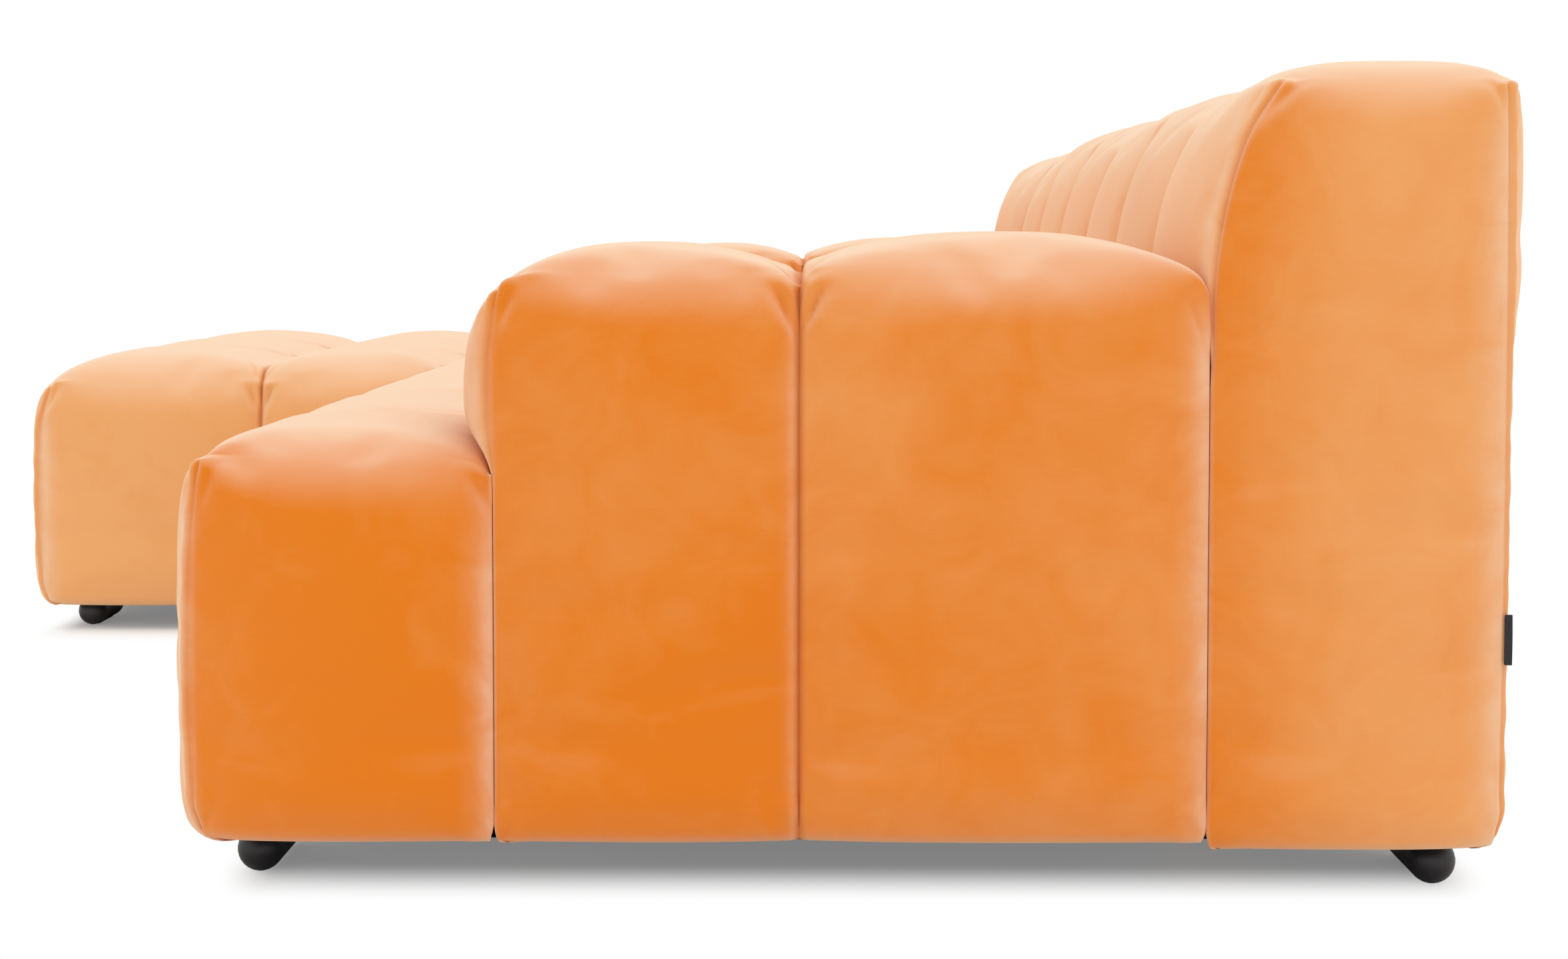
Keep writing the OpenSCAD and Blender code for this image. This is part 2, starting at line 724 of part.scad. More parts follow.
// A bar with round ends, grooved below for its glide pad
glide_l = foot_straight * glide_l_share;
module foot_bars() {
    color(black) at_feet() difference() {
        translate([0, 0, foot_z]) union() {
            rotate([0, 90, 0]) cylinder(h = foot_straight, r = foot_r, center = true);
            for (s = [-1, 1]) translate([s * foot_straight / 2, 0, 0]) sphere(r = foot_r);
        }
        block(
            -glide_l / 2 - fit_gap, glide_l / 2 + fit_gap,
            -glide_w / 2 - fit_gap, glide_w / 2 + fit_gap, -glide_t, glide_t
        );
    }
}

module foot_glides() {
    color(black) at_feet()
        block(-glide_l / 2, glide_l / 2, -glide_w / 2, glide_w / 2, 0, glide_t);
}

// A screw or bolt seen from below: a low round head and a shank up into the rail
head_h_share = 0.6;
head_d_share = 1.9;
module up_screw(d, depth, under_z) {
    head_h = d * head_h_share;
    translate([0, 0, under_z - head_h]) cylinder(h = head_h, d = d * head_d_share);
    translate([0, 0, under_z]) cylinder(h = base_z + depth - under_z - fit_gap, d = d);
}
module foot_bolts() {
    color(steel) {
        for (p = bolt_places(RIGHT)) translate(p) up_screw(bolt_d, bolt_l, plate_z);
        mirror([1, 0, 0]) for (p = bolt_places(LEFT)) translate(p) up_screw(bolt_d, bolt_l, plate_z);
    }
}

// Joining plates under the seams between units: middle and direction of each
screw_l = rail_h / 4;
join_hole_share = 0.625;
hole_pair_share = 0.28;
plate_shares = [0.25, 0.75];
join_hole = wall_t + rail_t * join_hole_share;
hole_pair = rail_t * hole_pair_share;
function plate_places(side) =
    let (
        mid_arm_x = (arm_x0 + in_x1) / 2,
        deck = seat_xc - in_x0(side),
        rib_shift = board_t / 2
    )
    [
        [mid_arm_x, arm_y, 90],
        [mid_arm_x, back_y, 90],
        [in_x0(side) + deck * plate_shares[0], back_y, 90],
        [in_x0(side) + deck * plate_shares[1], back_y, 90],
        [arm_x + rib_shift, arm_y0 + rib_pitch + rail_t / 2, 0]
    ];
function turned(p, u, v) = [
    p[0] + u * cos(p[2]) - v * sin(p[2]),
    p[1] + u * sin(p[2]) + v * cos(p[2])
];
function joining_holes(side) = [
    for (p = plate_places(side)) for (u = [-1, 1]) for (v = [-1, 1])
        turned(p, u * join_hole, v * hole_pair)
];
lock_ys = [for (share = plate_shares) seat_y + share * (back_y - seat_y)];
function lock_holes(side) =
    side == RIGHT ? [for (y = lock_ys) for (v = [-1, 1]) [split_x + join_hole, y + v * hole_pair]] : [];
function stud_places(side) = side == LEFT ? [for (y = lock_ys) [join_hole - split_x, y]] : [];
function screw_places(side) = concat(joining_holes(side), lock_holes(side));

module joining_plate_row(side) {
    for (p = plate_places(side))
        difference() {
            translate([p[0], p[1], plate_z]) rotate(p[2])
                block(-join_l / 2, join_l / 2, -join_w / 2, join_w / 2, 0, plate_t);
            up_holes(joining_holes(side), screw_d + 2 * fit_gap, screw_l);
        }
}
module joining_plates() {
    color(steel) {
        joining_plate_row(RIGHT);
        mirror([1, 0, 0]) joining_plate_row(LEFT);
    }
}
module joining_screws() {
    color(zinc) {
        for (p = joining_holes(RIGHT)) translate(p) up_screw(screw_d, screw_l, plate_z);
        mirror([1, 0, 0])
            for (p = joining_holes(LEFT)) translate(p) up_screw(screw_d, screw_l, plate_z);
    }
}

// Lock plates on the seat module reach over the split and hook on a stud of the chaise
module lock_plates() {
    slot_r = stud_d / 2 + fit_gap;
    color(steel)
        for (y = lock_ys)
            difference() {
                block(split_x - join_l / 2, split_x + join_l / 2, y - join_w / 2, y + join_w / 2,
                      plate_z, dust_z);
                up_holes(lock_holes(RIGHT), screw_d + 2 * fit_gap, screw_l);
                translate([split_x - join_hole, y, base_z]) {
                    cylinder(h = 2 * plate_z, r = slot_r, center = true);
                    block(-slot_r, slot_r, 0, join_w, -plate_z, plate_z);
                }
            }
}
stud_l = rail_h / 3;
stud_head_share = 1.6;
module lock_studs() {
    head_h = plate_t;
    color(zinc) mirror([1, 0, 0])
        for (p = stud_places(LEFT)) translate(p) {
            translate([0, 0, plate_z - head_h - fit_gap])
                cylinder(h = head_h, d = stud_d * stud_head_share);
            translate([0, 0, plate_z - fit_gap]) cylinder(h = plate_t + fit_gap, d = stud_d);
            translate([0, 0, dust_z]) cylinder(h = dust_t + stud_l - fit_gap, d = stud_d / 2);
        }
}
module lock_screws() {
    color(zinc)
        for (p = lock_holes(RIGHT)) translate(p) up_screw(screw_d, screw_l, plate_z);
}

// The tag is a blank folded loop sewn into the rear seam of the outer end
module blank_tag() {
    start = rear_y + fit_gap;
    color(black)
        block(half_w, half_w + tag_t, start, start + tag_w, tag_z, tag_z + tag_h);
}

module left_side() {
    mirror([1, 0, 0]) children();
}

seat_cover(RIGHT);  // seat_cover_right
arm_cover();  // arm_cover_right
back_cover(RIGHT);  // back_cover_right
seat_foam(RIGHT);  // seat_foam_right
arm_foam();  // arm_foam_right
back_foam(RIGHT);  // back_foam_right
seat_rails(RIGHT);  // seat_rails_right
cross_rails(RIGHT);  // cross_rails_right
seat_springs(RIGHT);  // seat_springs_right
spring_clips(RIGHT);  // spring_clips_right
arm_boards();  // arm_boards_right
arm_ribs(RIGHT);  // arm_ribs_right
back_frame(RIGHT);  // back_frame_right
back_webbing(RIGHT);  // back_webbing_right
dust_cover(RIGHT);  // dust_cover_right
left_side() seat_cover(LEFT);  // seat_cover_left
left_side() arm_cover();  // arm_cover_left
left_side() back_cover(LEFT);  // back_cover_left
left_side() seat_foam(LEFT);  // seat_foam_left
left_side() arm_foam();  // arm_foam_left
left_side() back_foam(LEFT);  // back_foam_left
left_side() seat_rails(LEFT);  // seat_rails_left
left_side() cross_rails(LEFT);  // cross_rails_left
left_side() seat_springs(LEFT);  // seat_springs_left
left_side() spring_clips(LEFT);  // spring_clips_left
left_side() arm_boards();  // arm_boards_left
left_side() arm_ribs(LEFT);  // arm_ribs_left
left_side() back_frame(LEFT);  // back_frame_left
left_side() back_webbing(LEFT);  // back_webbing_left
left_side() dust_cover(LEFT);  // dust_cover_left
foot_plates();
foot_saddles();
foot_bars();
foot_glides();
foot_bolts();
joining_plates();
joining_screws();
lock_plates();
lock_studs();
lock_screws();
blank_tag();
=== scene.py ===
"""Velvet covers, materials, light and camera for the corner lounge sofa.

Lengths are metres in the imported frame: X along the back, Y to the rear, Z up.
A cover is a grid of sewn pillows with side panels down to a turned-in hem. Its seams are held
while the cloth between them is inflated.
"""

import json
import math
from dataclasses import dataclass

import bmesh
import bpy
import numpy as np
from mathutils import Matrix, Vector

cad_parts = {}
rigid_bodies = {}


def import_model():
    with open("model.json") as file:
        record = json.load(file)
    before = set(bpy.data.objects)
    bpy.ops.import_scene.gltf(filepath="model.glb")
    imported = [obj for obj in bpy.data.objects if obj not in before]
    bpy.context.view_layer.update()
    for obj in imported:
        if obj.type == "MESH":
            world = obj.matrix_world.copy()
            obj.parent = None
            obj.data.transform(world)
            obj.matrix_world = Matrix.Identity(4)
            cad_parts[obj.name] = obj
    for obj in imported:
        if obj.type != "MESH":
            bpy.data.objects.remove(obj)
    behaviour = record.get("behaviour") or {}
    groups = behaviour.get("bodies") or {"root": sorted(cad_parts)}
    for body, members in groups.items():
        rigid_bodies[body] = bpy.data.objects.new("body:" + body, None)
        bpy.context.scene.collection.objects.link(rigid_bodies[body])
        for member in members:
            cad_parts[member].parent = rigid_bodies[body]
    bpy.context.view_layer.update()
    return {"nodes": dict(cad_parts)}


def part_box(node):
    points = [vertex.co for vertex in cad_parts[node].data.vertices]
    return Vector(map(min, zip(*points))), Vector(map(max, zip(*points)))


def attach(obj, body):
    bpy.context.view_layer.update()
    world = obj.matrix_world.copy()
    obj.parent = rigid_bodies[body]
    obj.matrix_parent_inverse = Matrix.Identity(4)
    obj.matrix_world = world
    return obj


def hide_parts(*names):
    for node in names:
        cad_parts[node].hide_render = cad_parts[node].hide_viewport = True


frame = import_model()
ROOT = "root"

# Seam lines of the covers, from what they hold
WALL = 0.0423
GAP = 0.0006
ARM_LO, ARM_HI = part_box("arm_foam_right")
SEAT_LO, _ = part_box("seat_foam_right")
CHAISE_LO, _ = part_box("seat_foam_left")
HALF_W = ARM_HI.x + WALL
ARM_X = ARM_LO.x - WALL
CHANNEL_W = HALF_W - ARM_X
ARM_Y = ARM_LO.y - WALL
BACK_Y = ARM_HI.y + WALL + GAP
REAR_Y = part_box("back_frame_right")[1].y + WALL
SEAT_Y = SEAT_LO.y - WALL
CHAISE_Y = CHAISE_LO.y - WALL
SPLIT_X = SEAT_LO.x - WALL - GAP / 2
ARM_MID_SHARE = 0.428
CHAISE_MID_SHARE = 0.539
ARM_MID_Y = ARM_Y + ARM_MID_SHARE * (BACK_Y - ARM_Y)
CHAISE_MID_Y = CHAISE_Y + CHAISE_MID_SHARE * (SEAT_Y - CHAISE_Y)
RIGHT_CHANNELS = 5
LEFT_CHANNELS = 3

# Heights, among them those from which the sides beside a neighbour are free
BASE_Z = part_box("dust_cover_right")[1].z
SEAT_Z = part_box("seat_cover_right")[1].z
ABOVE_SEAT_Z = SEAT_Z - 0.01
ARM_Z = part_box("arm_cover_right")[1].z
ARM_STEP = 0.008
ARM_FRONT_Z = SEAT_Z - 0.055
BACK_END_Z = ARM_Z - 0.13
BACK_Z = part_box("back_cover_right")[1].z
BACK_CROWN = BACK_Z - 0.003
LEAN_Z = 0.558
BACK_TOP_D = 0.213

# Sewn grooves, the seat's listed from the arm inwards, and how sharply falls meet at a crossing
DEEP = 0.036
SHALLOW = 0.019
SEAT_GROOVES = (DEEP, DEEP, SHALLOW, DEEP)
BACK_DEEP = 0.040
BACK_SHALLOW = 0.011
BACK_SCALLOP = 0.034
CORNER_POWER = 4
STITCH_IN = 0.0045

# Pinches at the seams' ends, as pulls level and down, and the draw at corners
PINCH = 0.017
PINCH_REACH = 0.034
PINCH_REACH_LOW = 0.048
PINCH_WAY = (0.75, 0.65)
PINCH_WIDENS = 0.4
PINCH_WIDENS_IN = 0.02
DRAW = (0.004, 0.001)
CORNER_REACH = 0.038
CORNER_ALONG = 0.3
REAR_CORNER_REACH = 0.022
REAR_CORNER_ALONG = 0.2
SHUT_REACH = 0.080

# Side panels
SAG = 0.12
SLIM_RUN = 0.18
SLIM_START = 0.65
LIFT_RUN = 0.06
BOW_POWERS = (0.85, 0.8)
DEFLATE = 0.008
PAD_FADE = 0.08

# Hems: their radius by what is nearest, how far they turn in and how low each cover hangs
HEM_R = 0.022
HEM_R_OPEN = 0.034
HEM_R_CLOSED = 0.008
HEM_R_SEAM = 0.024
HEM_TURNS = (30, 60, 90)
HEM_TURN_IN = 0.014
HEM_ROW = -1 - len(HEM_TURNS)
SEAT_HANG = 0.0025
CHAISE_HANG = 0.021
BACK_HANG = 0.008

# What tints the pile: painted shade in the seams and where the seat meets its neighbours, painted
# sheen in bands beside the seams, and panel tones that are partly painted sheen
SEAM_SHADE_REACH = 0.0042
CORNER_SEAM_SHADE_OFF = 0.003
SEAM_SHEEN_REACH = 0.008
SEAM_SHEEN_REACH_CORNER = 0.015
SEAM_SHEEN_FADE = 0.08
CONTACT_SHADE = 0.6
CONTACT_SHADE_REACH = 0.045
NAP_AND_SHEEN_RANGE = (0.25, 0.7)

# Folds: how much they vary, how far each kind goes, how deep and how wide it is, and its profile
VARY = 0.25
SIDE_FOLD = (0.017, 0.050)
SIDE_FOLD_START = 0.004
SIDE_FOLD_W = 0.0042
SEAM_FOLD_DEPTH = 0.0060
CORNER_FOLD_DEPTH = 0.0026
HEM_FOLD = (0.026, 0.036)
HEM_FOLD_DEPTH, HEM_FOLD_W = 0.0026, 0.007
TOP_FOLD = ((0.005, 0.006), (0.018, 0.034), (0.032, 0.066))
TOP_FOLD_DEPTH, TOP_FOLD_W = 0.0034, 0.0052
CROSS_FOLD = 0.045
CROSS_VARY = 0.4
CROSS_FOLD_DEPTH, CROSS_FOLD_W = 0.0040, 0.0052
FOLD_LIP = 0.4
FOLD_LIP_OFF = 2
FOLD_REACH = 3.5
FOLD_POWER = 0.6
FOLD_START = 0.25
FOLD_LIMITS = (-0.006, 0.003)
# Crease depth at which its painted shade is full
FOLD_FULL = 0.006

# Spacing of the cloth's grid: the lines beside each seam, then even steps
NEAR = (0.0, 0.0024, 0.007, 0.012, 0.019)
WRAP_REACH = NEAR[2] + 0.001
STEP = 0.015
RIM_STEPS = (0.004, 0.010, 0.018)

# Cloth
FRAMES = 18
MOST_MOVE = 0.014

WAYS = {"front": (0, -1), "right": (1, 0), "rear": (0, 1), "left": (-1, 0)}


@dataclass
class Edge:
    """One side of a cover.

    The top falls by drop over the last run of its width. Each cell's panel swells out by puff
    from its height in free upwards, and is hidden where that is None. The side bows out by bow.
    Outer is how much its last cell swells, against the others. Slim is the share of the puff that
    is missing below the backrest's lean. Shut has the drop and run of the side's hidden part, if
    they differ. Nap and sheen lightens or darkens the side's panels, partly as the pile's own tone
    and partly as painted sheen of pile brushed one way, and shade is how much and how far the pile
    is darker by the side's first corner.
    """
    drop: float
    puff: float
    run: float
    free: tuple
    bow: float = 0.0
    outer: float = 1.0
    slim: float = 0.0
    shut: "Edge" = None
    nap_and_sheen: float = 0.0
    shade: tuple = None


def lobe(s):
    return np.sqrt(np.clip(1 - s * s, 0, 1))


def ease(t):
    t = np.clip(t, 0, 1)
    return t * t * (3 - 2 * t)


def nearest(positions, places):
    """Distance of each position from the nearest place, infinite if there is none."""
    return np.abs(positions[:, None] - places[None, :]).min(1, initial=math.inf)


class Lines:
    """Grid lines across the cells between seams."""

    def __init__(self, seams):
        self.seams = np.array(seams)
        self.last_cell = len(seams) - 2
        near = np.array(NEAR)
        pos, cell = [], []
        for c, (a, b) in enumerate(zip(seams, seams[1:])):
            n = max(2, round((b - a - 2 * near[-1]) / STEP))
            even = np.linspace(a + near[-1], b - near[-1], n + 1)
            pos += [*(a + near[:-1]), *even, *(b - near[-2:0:-1])]
            cell += [c] * (len(pos) - len(cell))
        self.pos = np.array(pos + [seams[-1]])
        self.cell = np.array(cell + [self.last_cell])
        self.last = len(pos)
        a, b = self.seams[self.cell], self.seams[self.cell + 1]
        self.s = 2 * (self.pos - a) / (b - a) - 1
        away = nearest(self.pos, self.seams)
        self.seam = away < 1e-6
        self.tight = away < NEAR[1] + 1e-6
        self.inner = np.flatnonzero(self.seam)[1:-1]

    def index(self, place):
        return int(np.abs(self.pos - place).argmin())

    def inner_gap(self):
        """Distance of each grid line from the nearest seam inside the cover."""
        return nearest(self.pos, self.seams[1:-1])

    def seam_share(self):
        """1 on a seam inside the cover, 0 in the middle of a cell and towards the cover's ends."""
        inside = np.where(self.s < 0, self.cell > 0, self.cell < self.last_cell)
        return (1 - lobe(self.s)) * inside


def edge_reach(edge, g):
    """Puff of a panel, and how far below its crown the panel is widest, where its fullness is g."""
    p = edge.puff * g
    rim = np.clip(1 - p / edge.run, 0, 1)
    return p, edge.drop / (1 - np.sqrt(np.clip(1 - rim * rim, 0, 1)))


def top_fall(edge, e, g):
    """Drop of the top at distance e in from an edge."""
    p, b = edge_reach(edge, g)
    q = np.clip(1 - (e + p) / edge.run, 0, 1)
    return b * (1 - np.sqrt(1 - q * q))


def side_swell(edge, drop, g):
    """How far a panel stands out at a drop below its crown."""
    p, b = edge_reach(edge, g)
    q = np.clip(1 - drop / b, 0, 1)
    return p - edge.run * (1 - np.sqrt(1 - q * q))


def bracket(values, value):
    """The place in rising values below a value, and how far it is to the next one."""
    k = int(np.clip(np.searchsorted(values, value) - 1, 0, len(values) - 2))
    return k, float(np.clip((value - values[k]) / (values[k + 1] - values[k]), 0, 1))


def painted_seam_shade(gap):
    """Painted shade in a seam, full on it and fading with the distance from it."""
    return np.exp(-(gap / SEAM_SHADE_REACH) ** 2)


def inward(way, level, down):
    """A pull from the rim into the cover, level and down."""
    return -np.array([way[0] * level, way[1] * level, down])


class Cover:
    """A padded cover: its grid, and what holds, pinches and pads each grid point, with its tone,
    painted shade and painted sheen.
    """

    def __init__(self, name, xs, ys, crowns, x_grooves, y_grooves, sides, mirrored, hang,
                 notch=False, lean=0.0, naps_and_sheen=None, scallop=0.0, draw=DRAW):
        self.name = name
        self.random = np.random.default_rng(sum(name.encode()))
        # Each cell's tone: random, with listed cells set apart; it is partly painted sheen
        self.naps_and_sheen = self.random.uniform(*NAP_AND_SHEEN_RANGE, (len(xs) - 1, len(ys) - 1))
        for cell, nap_and_sheen in (naps_and_sheen or {}).items():
            self.naps_and_sheen[cell] = nap_and_sheen
        self.x, self.y = Lines(xs), Lines(ys)
        self.crowns = np.array(crowns)
        self.x_grooves, self.y_grooves = x_grooves, y_grooves
        self.sides, self.mirrored, self.hang, self.notch = sides, mirrored, hang, notch
        self.lean, self.scallop, self.draw = lean, scallop, draw
        self.nx, self.ny = self.x.last, self.y.last
        self.ic = self.x.index(xs[-2]) if notch else self.nx
        self.jc = self.y.index(ys[-3]) if notch else self.ny
        self.make_top()
        self.trace_rim()
        self.make_skirt()
        self.mark_skirt()

    def along(self, side):
        """The grid lines that cross a side, one after the other along it."""
        return self.x if side in ("front", "rear") else self.y

    def other(self, lines):
        return self.y if lines is self.x else self.x

    def by_x_and_y(self, lines, values):
        """Turns values by an axis's lines and the other's into values by X and Y."""
        return values if lines is self.x else values.T

    def ends(self, lines):
        """The side at each end of an axis, each line's distance from it, and its half cell."""
        low, high = ("left", "right") if lines is self.x else ("front", "rear")
        yield low, lines.pos - lines.seams[0], (lines.cell == 0) & (lines.s < 0)
        last = (lines.cell == lines.last_cell) & (lines.s >= 0)
        yield high, lines.seams[-1] - lines.pos, last

    def free_z(self, side):
        """For each grid line along a side, the height its panel is free from, or infinity."""
        free = [math.inf if f is None else f for f in self.sides[side].free]
        return np.array(free)[self.along(side).cell]

    def fullness(self, side):
        """How full a side's panels are along its edge."""
        lines = self.along(side)
        return lobe(lines.s) * np.where(lines.cell == lines.last_cell, self.sides[side].outer, 1)

    def fall(self, lines, grooves):
        """Drops across one axis, for every grid point: grooves inside, rounded edges outside."""
        depth = np.array([0, *grooves, 0])[lines.cell + (lines.s >= 0)]
        fall = (depth * (1 - lobe(lines.s)))[:, None] * np.ones((1, self.other(lines).last + 1))
        for side, e, half in self.ends(lines):
            edge = self.sides[side]
            g = self.fullness(side) * np.isfinite(self.free_z(side))
            fallen = top_fall(edge, e[:, None], g[None, :])
            if edge.shut:
                shown = self.shown_share(side)[None, :]
                shut = top_fall(edge.shut, e[:, None], np.zeros_like(shown))
                fallen = shut + (fallen - shut) * shown
            fall = np.where(half[:, None], fallen, fall)
        return self.by_x_and_y(lines, fall)

    def shown_share(self, side):
        """1 along the free part of a side and 0 where it is hidden, with a gradual change."""
        pos = self.along(side).pos
        return ease(nearest(pos, pos[~np.isfinite(self.free_z(side))]) / SHUT_REACH)

    def make_top(self):
        self.fall_x = self.fall(self.x, self.x_grooves)
        self.fall_y = self.fall(self.y, self.y_grooves)
        total = (self.fall_x ** CORNER_POWER + self.fall_y ** CORNER_POWER) ** (1 / CORNER_POWER)
        self.crown = self.crowns[self.y.cell][None, :] - self.scallop_dip()[:, None]
        x, y = np.meshgrid(self.x.pos, self.y.pos, indexing="ij")
        z = self.crown - total
        self.top = np.stack([x, self.leaned(y, z), z], -1)
        # The top's tone, partly painted sheen
        self.top_nap_and_sheen = self.naps_and_sheen[self.x.cell[:, None], self.y.cell[None, :]]
        # Painted shade in the top's seams
        gap = np.minimum(self.x.inner_gap()[:, None], self.y.inner_gap()[None, :])
        self.top_painted_shade = painted_seam_shade(gap)
        # Painted shade on a seat by the arm and the backrest
        if self.notch:
            self.top_painted_shade = np.maximum(self.top_painted_shade, self.painted_contact_shade())
        self.top_pull = np.zeros_like(self.top)
        self.top_pad = np.ones_like(z)
        for lines in (self.x, self.y):
            other = self.other(lines)
            pad = lobe(lines.s)[:, None] * np.ones((1, other.last + 1))
            for side, e, half in self.ends(lines):
                free = np.isfinite(self.free_z(side))
                pad = np.where(half[:, None] & free[None, :], 1, pad)
                share = other.seam_share() * free
                pinch = PINCH * np.exp(-(e[:, None] / PINCH_REACH) ** 2) * share[None, :]
                pinch = self.by_x_and_y(lines, pinch)
                self.top_pull += pinch[..., None] * inward(WAYS[side], *PINCH_WAY)
            self.top_pad *= self.by_x_and_y(lines, pad)

    def painted_contact_shade(self):
        """Painted shade on the seat where it meets the arm and the backrest."""
        to_arm = np.hypot(np.clip(ARM_X - self.x.pos, 0, None)[:, None],
                          np.clip(ARM_Y - self.y.pos, 0, None)[None, :])
        to_back = (BACK_Y - self.y.pos)[None, :]
        return CONTACT_SHADE * np.exp(-(np.minimum(to_arm, to_back) / CONTACT_SHADE_REACH) ** 2)

    def scallop_dip(self):
        """Two channels share one wide crest, which dips towards the deep grooves."""
        deep = self.x.seams[1:-1][np.array(self.x_grooves) > SHALLOW]
        near = nearest(self.x.pos, deep) / CHANNEL_W
        return self.scallop * (1 - lobe(np.clip(1 - near, 0, 1)))

    def leaned(self, y, z):
        if not self.lean:
            return y
        share = np.clip((z - LEAN_Z) / (BACK_Z - LEAN_Z), 0, 1)
        end = self.y.pos[-1]
        spread = 1 + self.lean * (1 - share ** 2) / (end - self.y.pos[0])
        return end - (end - y) * spread

    def outline(self):
        """The rim, counter-clockwise: grid place, side, outward direction and corner or not."""
        nx, ny, ic, jc = self.nx, self.ny, self.ic, self.jc
        runs = [
            [(i, 0, "front", (0, -1)) for i in range(nx)],
            [(nx, j, "right", (1, 0)) for j in range(jc)],
            [(i, jc, "notch", (0, 1)) for i in range(nx, ic, -1)],
            [(ic, j, "notch", (1, 0)) for j in range(jc, ny)],
            [(i, ny, "rear", (0, 1)) for i in range(ic, 0, -1)],
            [(0, j, "left", (-1, 0)) for j in range(ny, 0, -1)],
        ]
        runs = [run for run in runs if run]
        ways = [run[0][3] for run in runs]
        for k, run in enumerate(runs):
            i, j, side, way = run[0]
            run[0] = (i, j, side, (way[0] + ways[k - 1][0], way[1] + ways[k - 1][1]))
        return [(*point, n == 0) for run in runs for n, point in enumerate(run)]

    def trace_rim(self):
        """What each point of the rim belongs to, and from what height it is free."""
        self.points = self.outline()
        columns_of = (np.array(column) for column in zip(*self.points))
        self.rim_i, self.rim_j, self.side, self.way, self.corner = columns_of
        i, j = self.rim_i, self.rim_j
        self.rim = self.top[i, j]
        self.along_x = np.isin(self.side, ("front", "rear"))
        self.full = np.zeros(len(i))
        self.free = np.full(len(i), math.inf)
        for name in self.sides:
            mine = self.side == name
            k = (i if self.along(name) is self.x else j)[mine]
            self.full[mine] = self.fullness(name)[k]
            self.free[mine] = self.free_z(name)[k]
        self.full[self.corner] = 0
        self.hidden = ~np.isfinite(self.free)
        self.place = np.stack([self.x.pos[i], self.y.pos[j]], -1)
        steps = np.linalg.norm(np.roll(self.place, -1, 0) - self.place, axis=1)
        self.around = np.concatenate([[0], np.cumsum(steps)])
        self.seam = np.where(self.along_x, self.x.seam[i], self.y.seam[j]) | self.corner
        self.before, self.after = np.roll(self.free, 2), np.roll(self.free, -2)
        beside = np.maximum(self.before, self.after)
        self.seam_from = np.where(self.corner, beside, self.free)
        self.open_corner = self.corner & (beside <= BASE_Z)

    def rim_gap(self, marks):
        """Distance along the rim from each of its points to each marked one."""
        gap = np.abs(self.around[:-1, None] - self.around[marks][None, :])
        return np.minimum(gap, self.around[-1] - gap)

    def hem_extra(self):
        """What the nearest seam or corner adds to the hem's radius, for each point of the rim."""
        marks = np.flatnonzero(self.seam)
        extra = np.where(self.open_corner, HEM_R_OPEN, HEM_R_CLOSED)
        extra = np.where(self.corner, extra, HEM_R_SEAM) - HEM_R
        return extra[marks[self.rim_gap(marks).argmin(1)]]

    def make_skirt(self):
        """Side panels that swell out between their seams, and a hem that turns in below."""
        i, j, side, corner, hidden = self.rim_i, self.rim_j, self.side, self.corner, self.hidden
        free, rim = self.free, self.rim
        crown = self.crown[i, j]
        other_fall = np.where(self.along_x, self.fall_x[i, j], self.fall_y[i, j])
        base_z = BASE_Z - self.hang * ~hidden
        hem_r = HEM_R + (1 - self.full) ** 2 * self.hem_extra()
        levels = max(4, round((crown.max() - DEEP - BASE_Z - HEM_R) / STEP))
        shares = np.array(RIM_STEPS) / (crown.max() - BASE_Z)
        shares = np.concatenate([shares, np.linspace(shares[-1], 1, levels)[1:]])[:, None]
        z = rim[:, 2] + shares * (base_z + hem_r - rim[:, 2])
        out = np.zeros_like(z)
        for name, edge in self.sides.items():
            mine = (side == name) & ~corner & ~hidden
            own = (crown[mine] - z[:, mine]) ** CORNER_POWER - other_fall[mine] ** CORNER_POWER
            own = np.clip(own, 0, None) ** (1 / CORNER_POWER)
            swell = np.clip(side_swell(edge, own, self.full[mine]), 0, None)
            low = np.clip((z[:, mine] - BASE_Z) / (crown[mine] - BASE_Z), 0, 1)
            sag = 1 - SAG * (1 - low) ** 2
            slim = 1 - edge.slim * (1 - ease((z[:, mine] - LEAN_Z) / SLIM_RUN + SLIM_START))
            lift = ease((z[:, mine] - free[mine]) / LIFT_RUN)
            lift = np.where(free[mine] <= BASE_Z, 1, lift)
            out[:, mine] = swell * sag * slim * lift

        turns = np.radians(HEM_TURNS)[:, None]
        hem_z = base_z + hem_r * (1 - np.sin(turns))
        hem_out = out[-1] - hem_r * (1 - np.cos(turns))
        z = np.concatenate([z, hem_z, np.full_like(hem_z[-1:], BASE_Z)])
        out = np.concatenate([out, hem_out, hem_out[-1:] - HEM_TURN_IN])

        xy = rim[None, :, :2] + out[..., None] * self.way[None]
        xy[..., 1] = self.leaned(self.y.pos[j][None, :], z) + out * self.way[:, 1]
        for name, edge in self.sides.items():
            own_end = corner & (np.roll(side, 1) == name)
            from_z = np.where(own_end, self.before, np.where(corner, self.after, free))
            mine = ((side == name) | own_end) & np.isfinite(from_z)
            share = (z[:, mine] - from_z[mine]) / (rim[mine, 2] - from_z[mine])
            rise, power = BOW_POWERS
            bow = edge.bow * np.sin(np.pi * np.clip(share, 0, 1) ** rise) ** power
            xy[:, mine] += bow[..., None] * np.array(WAYS[name])
        self.skirt = np.concatenate([xy, z[..., None]], -1)

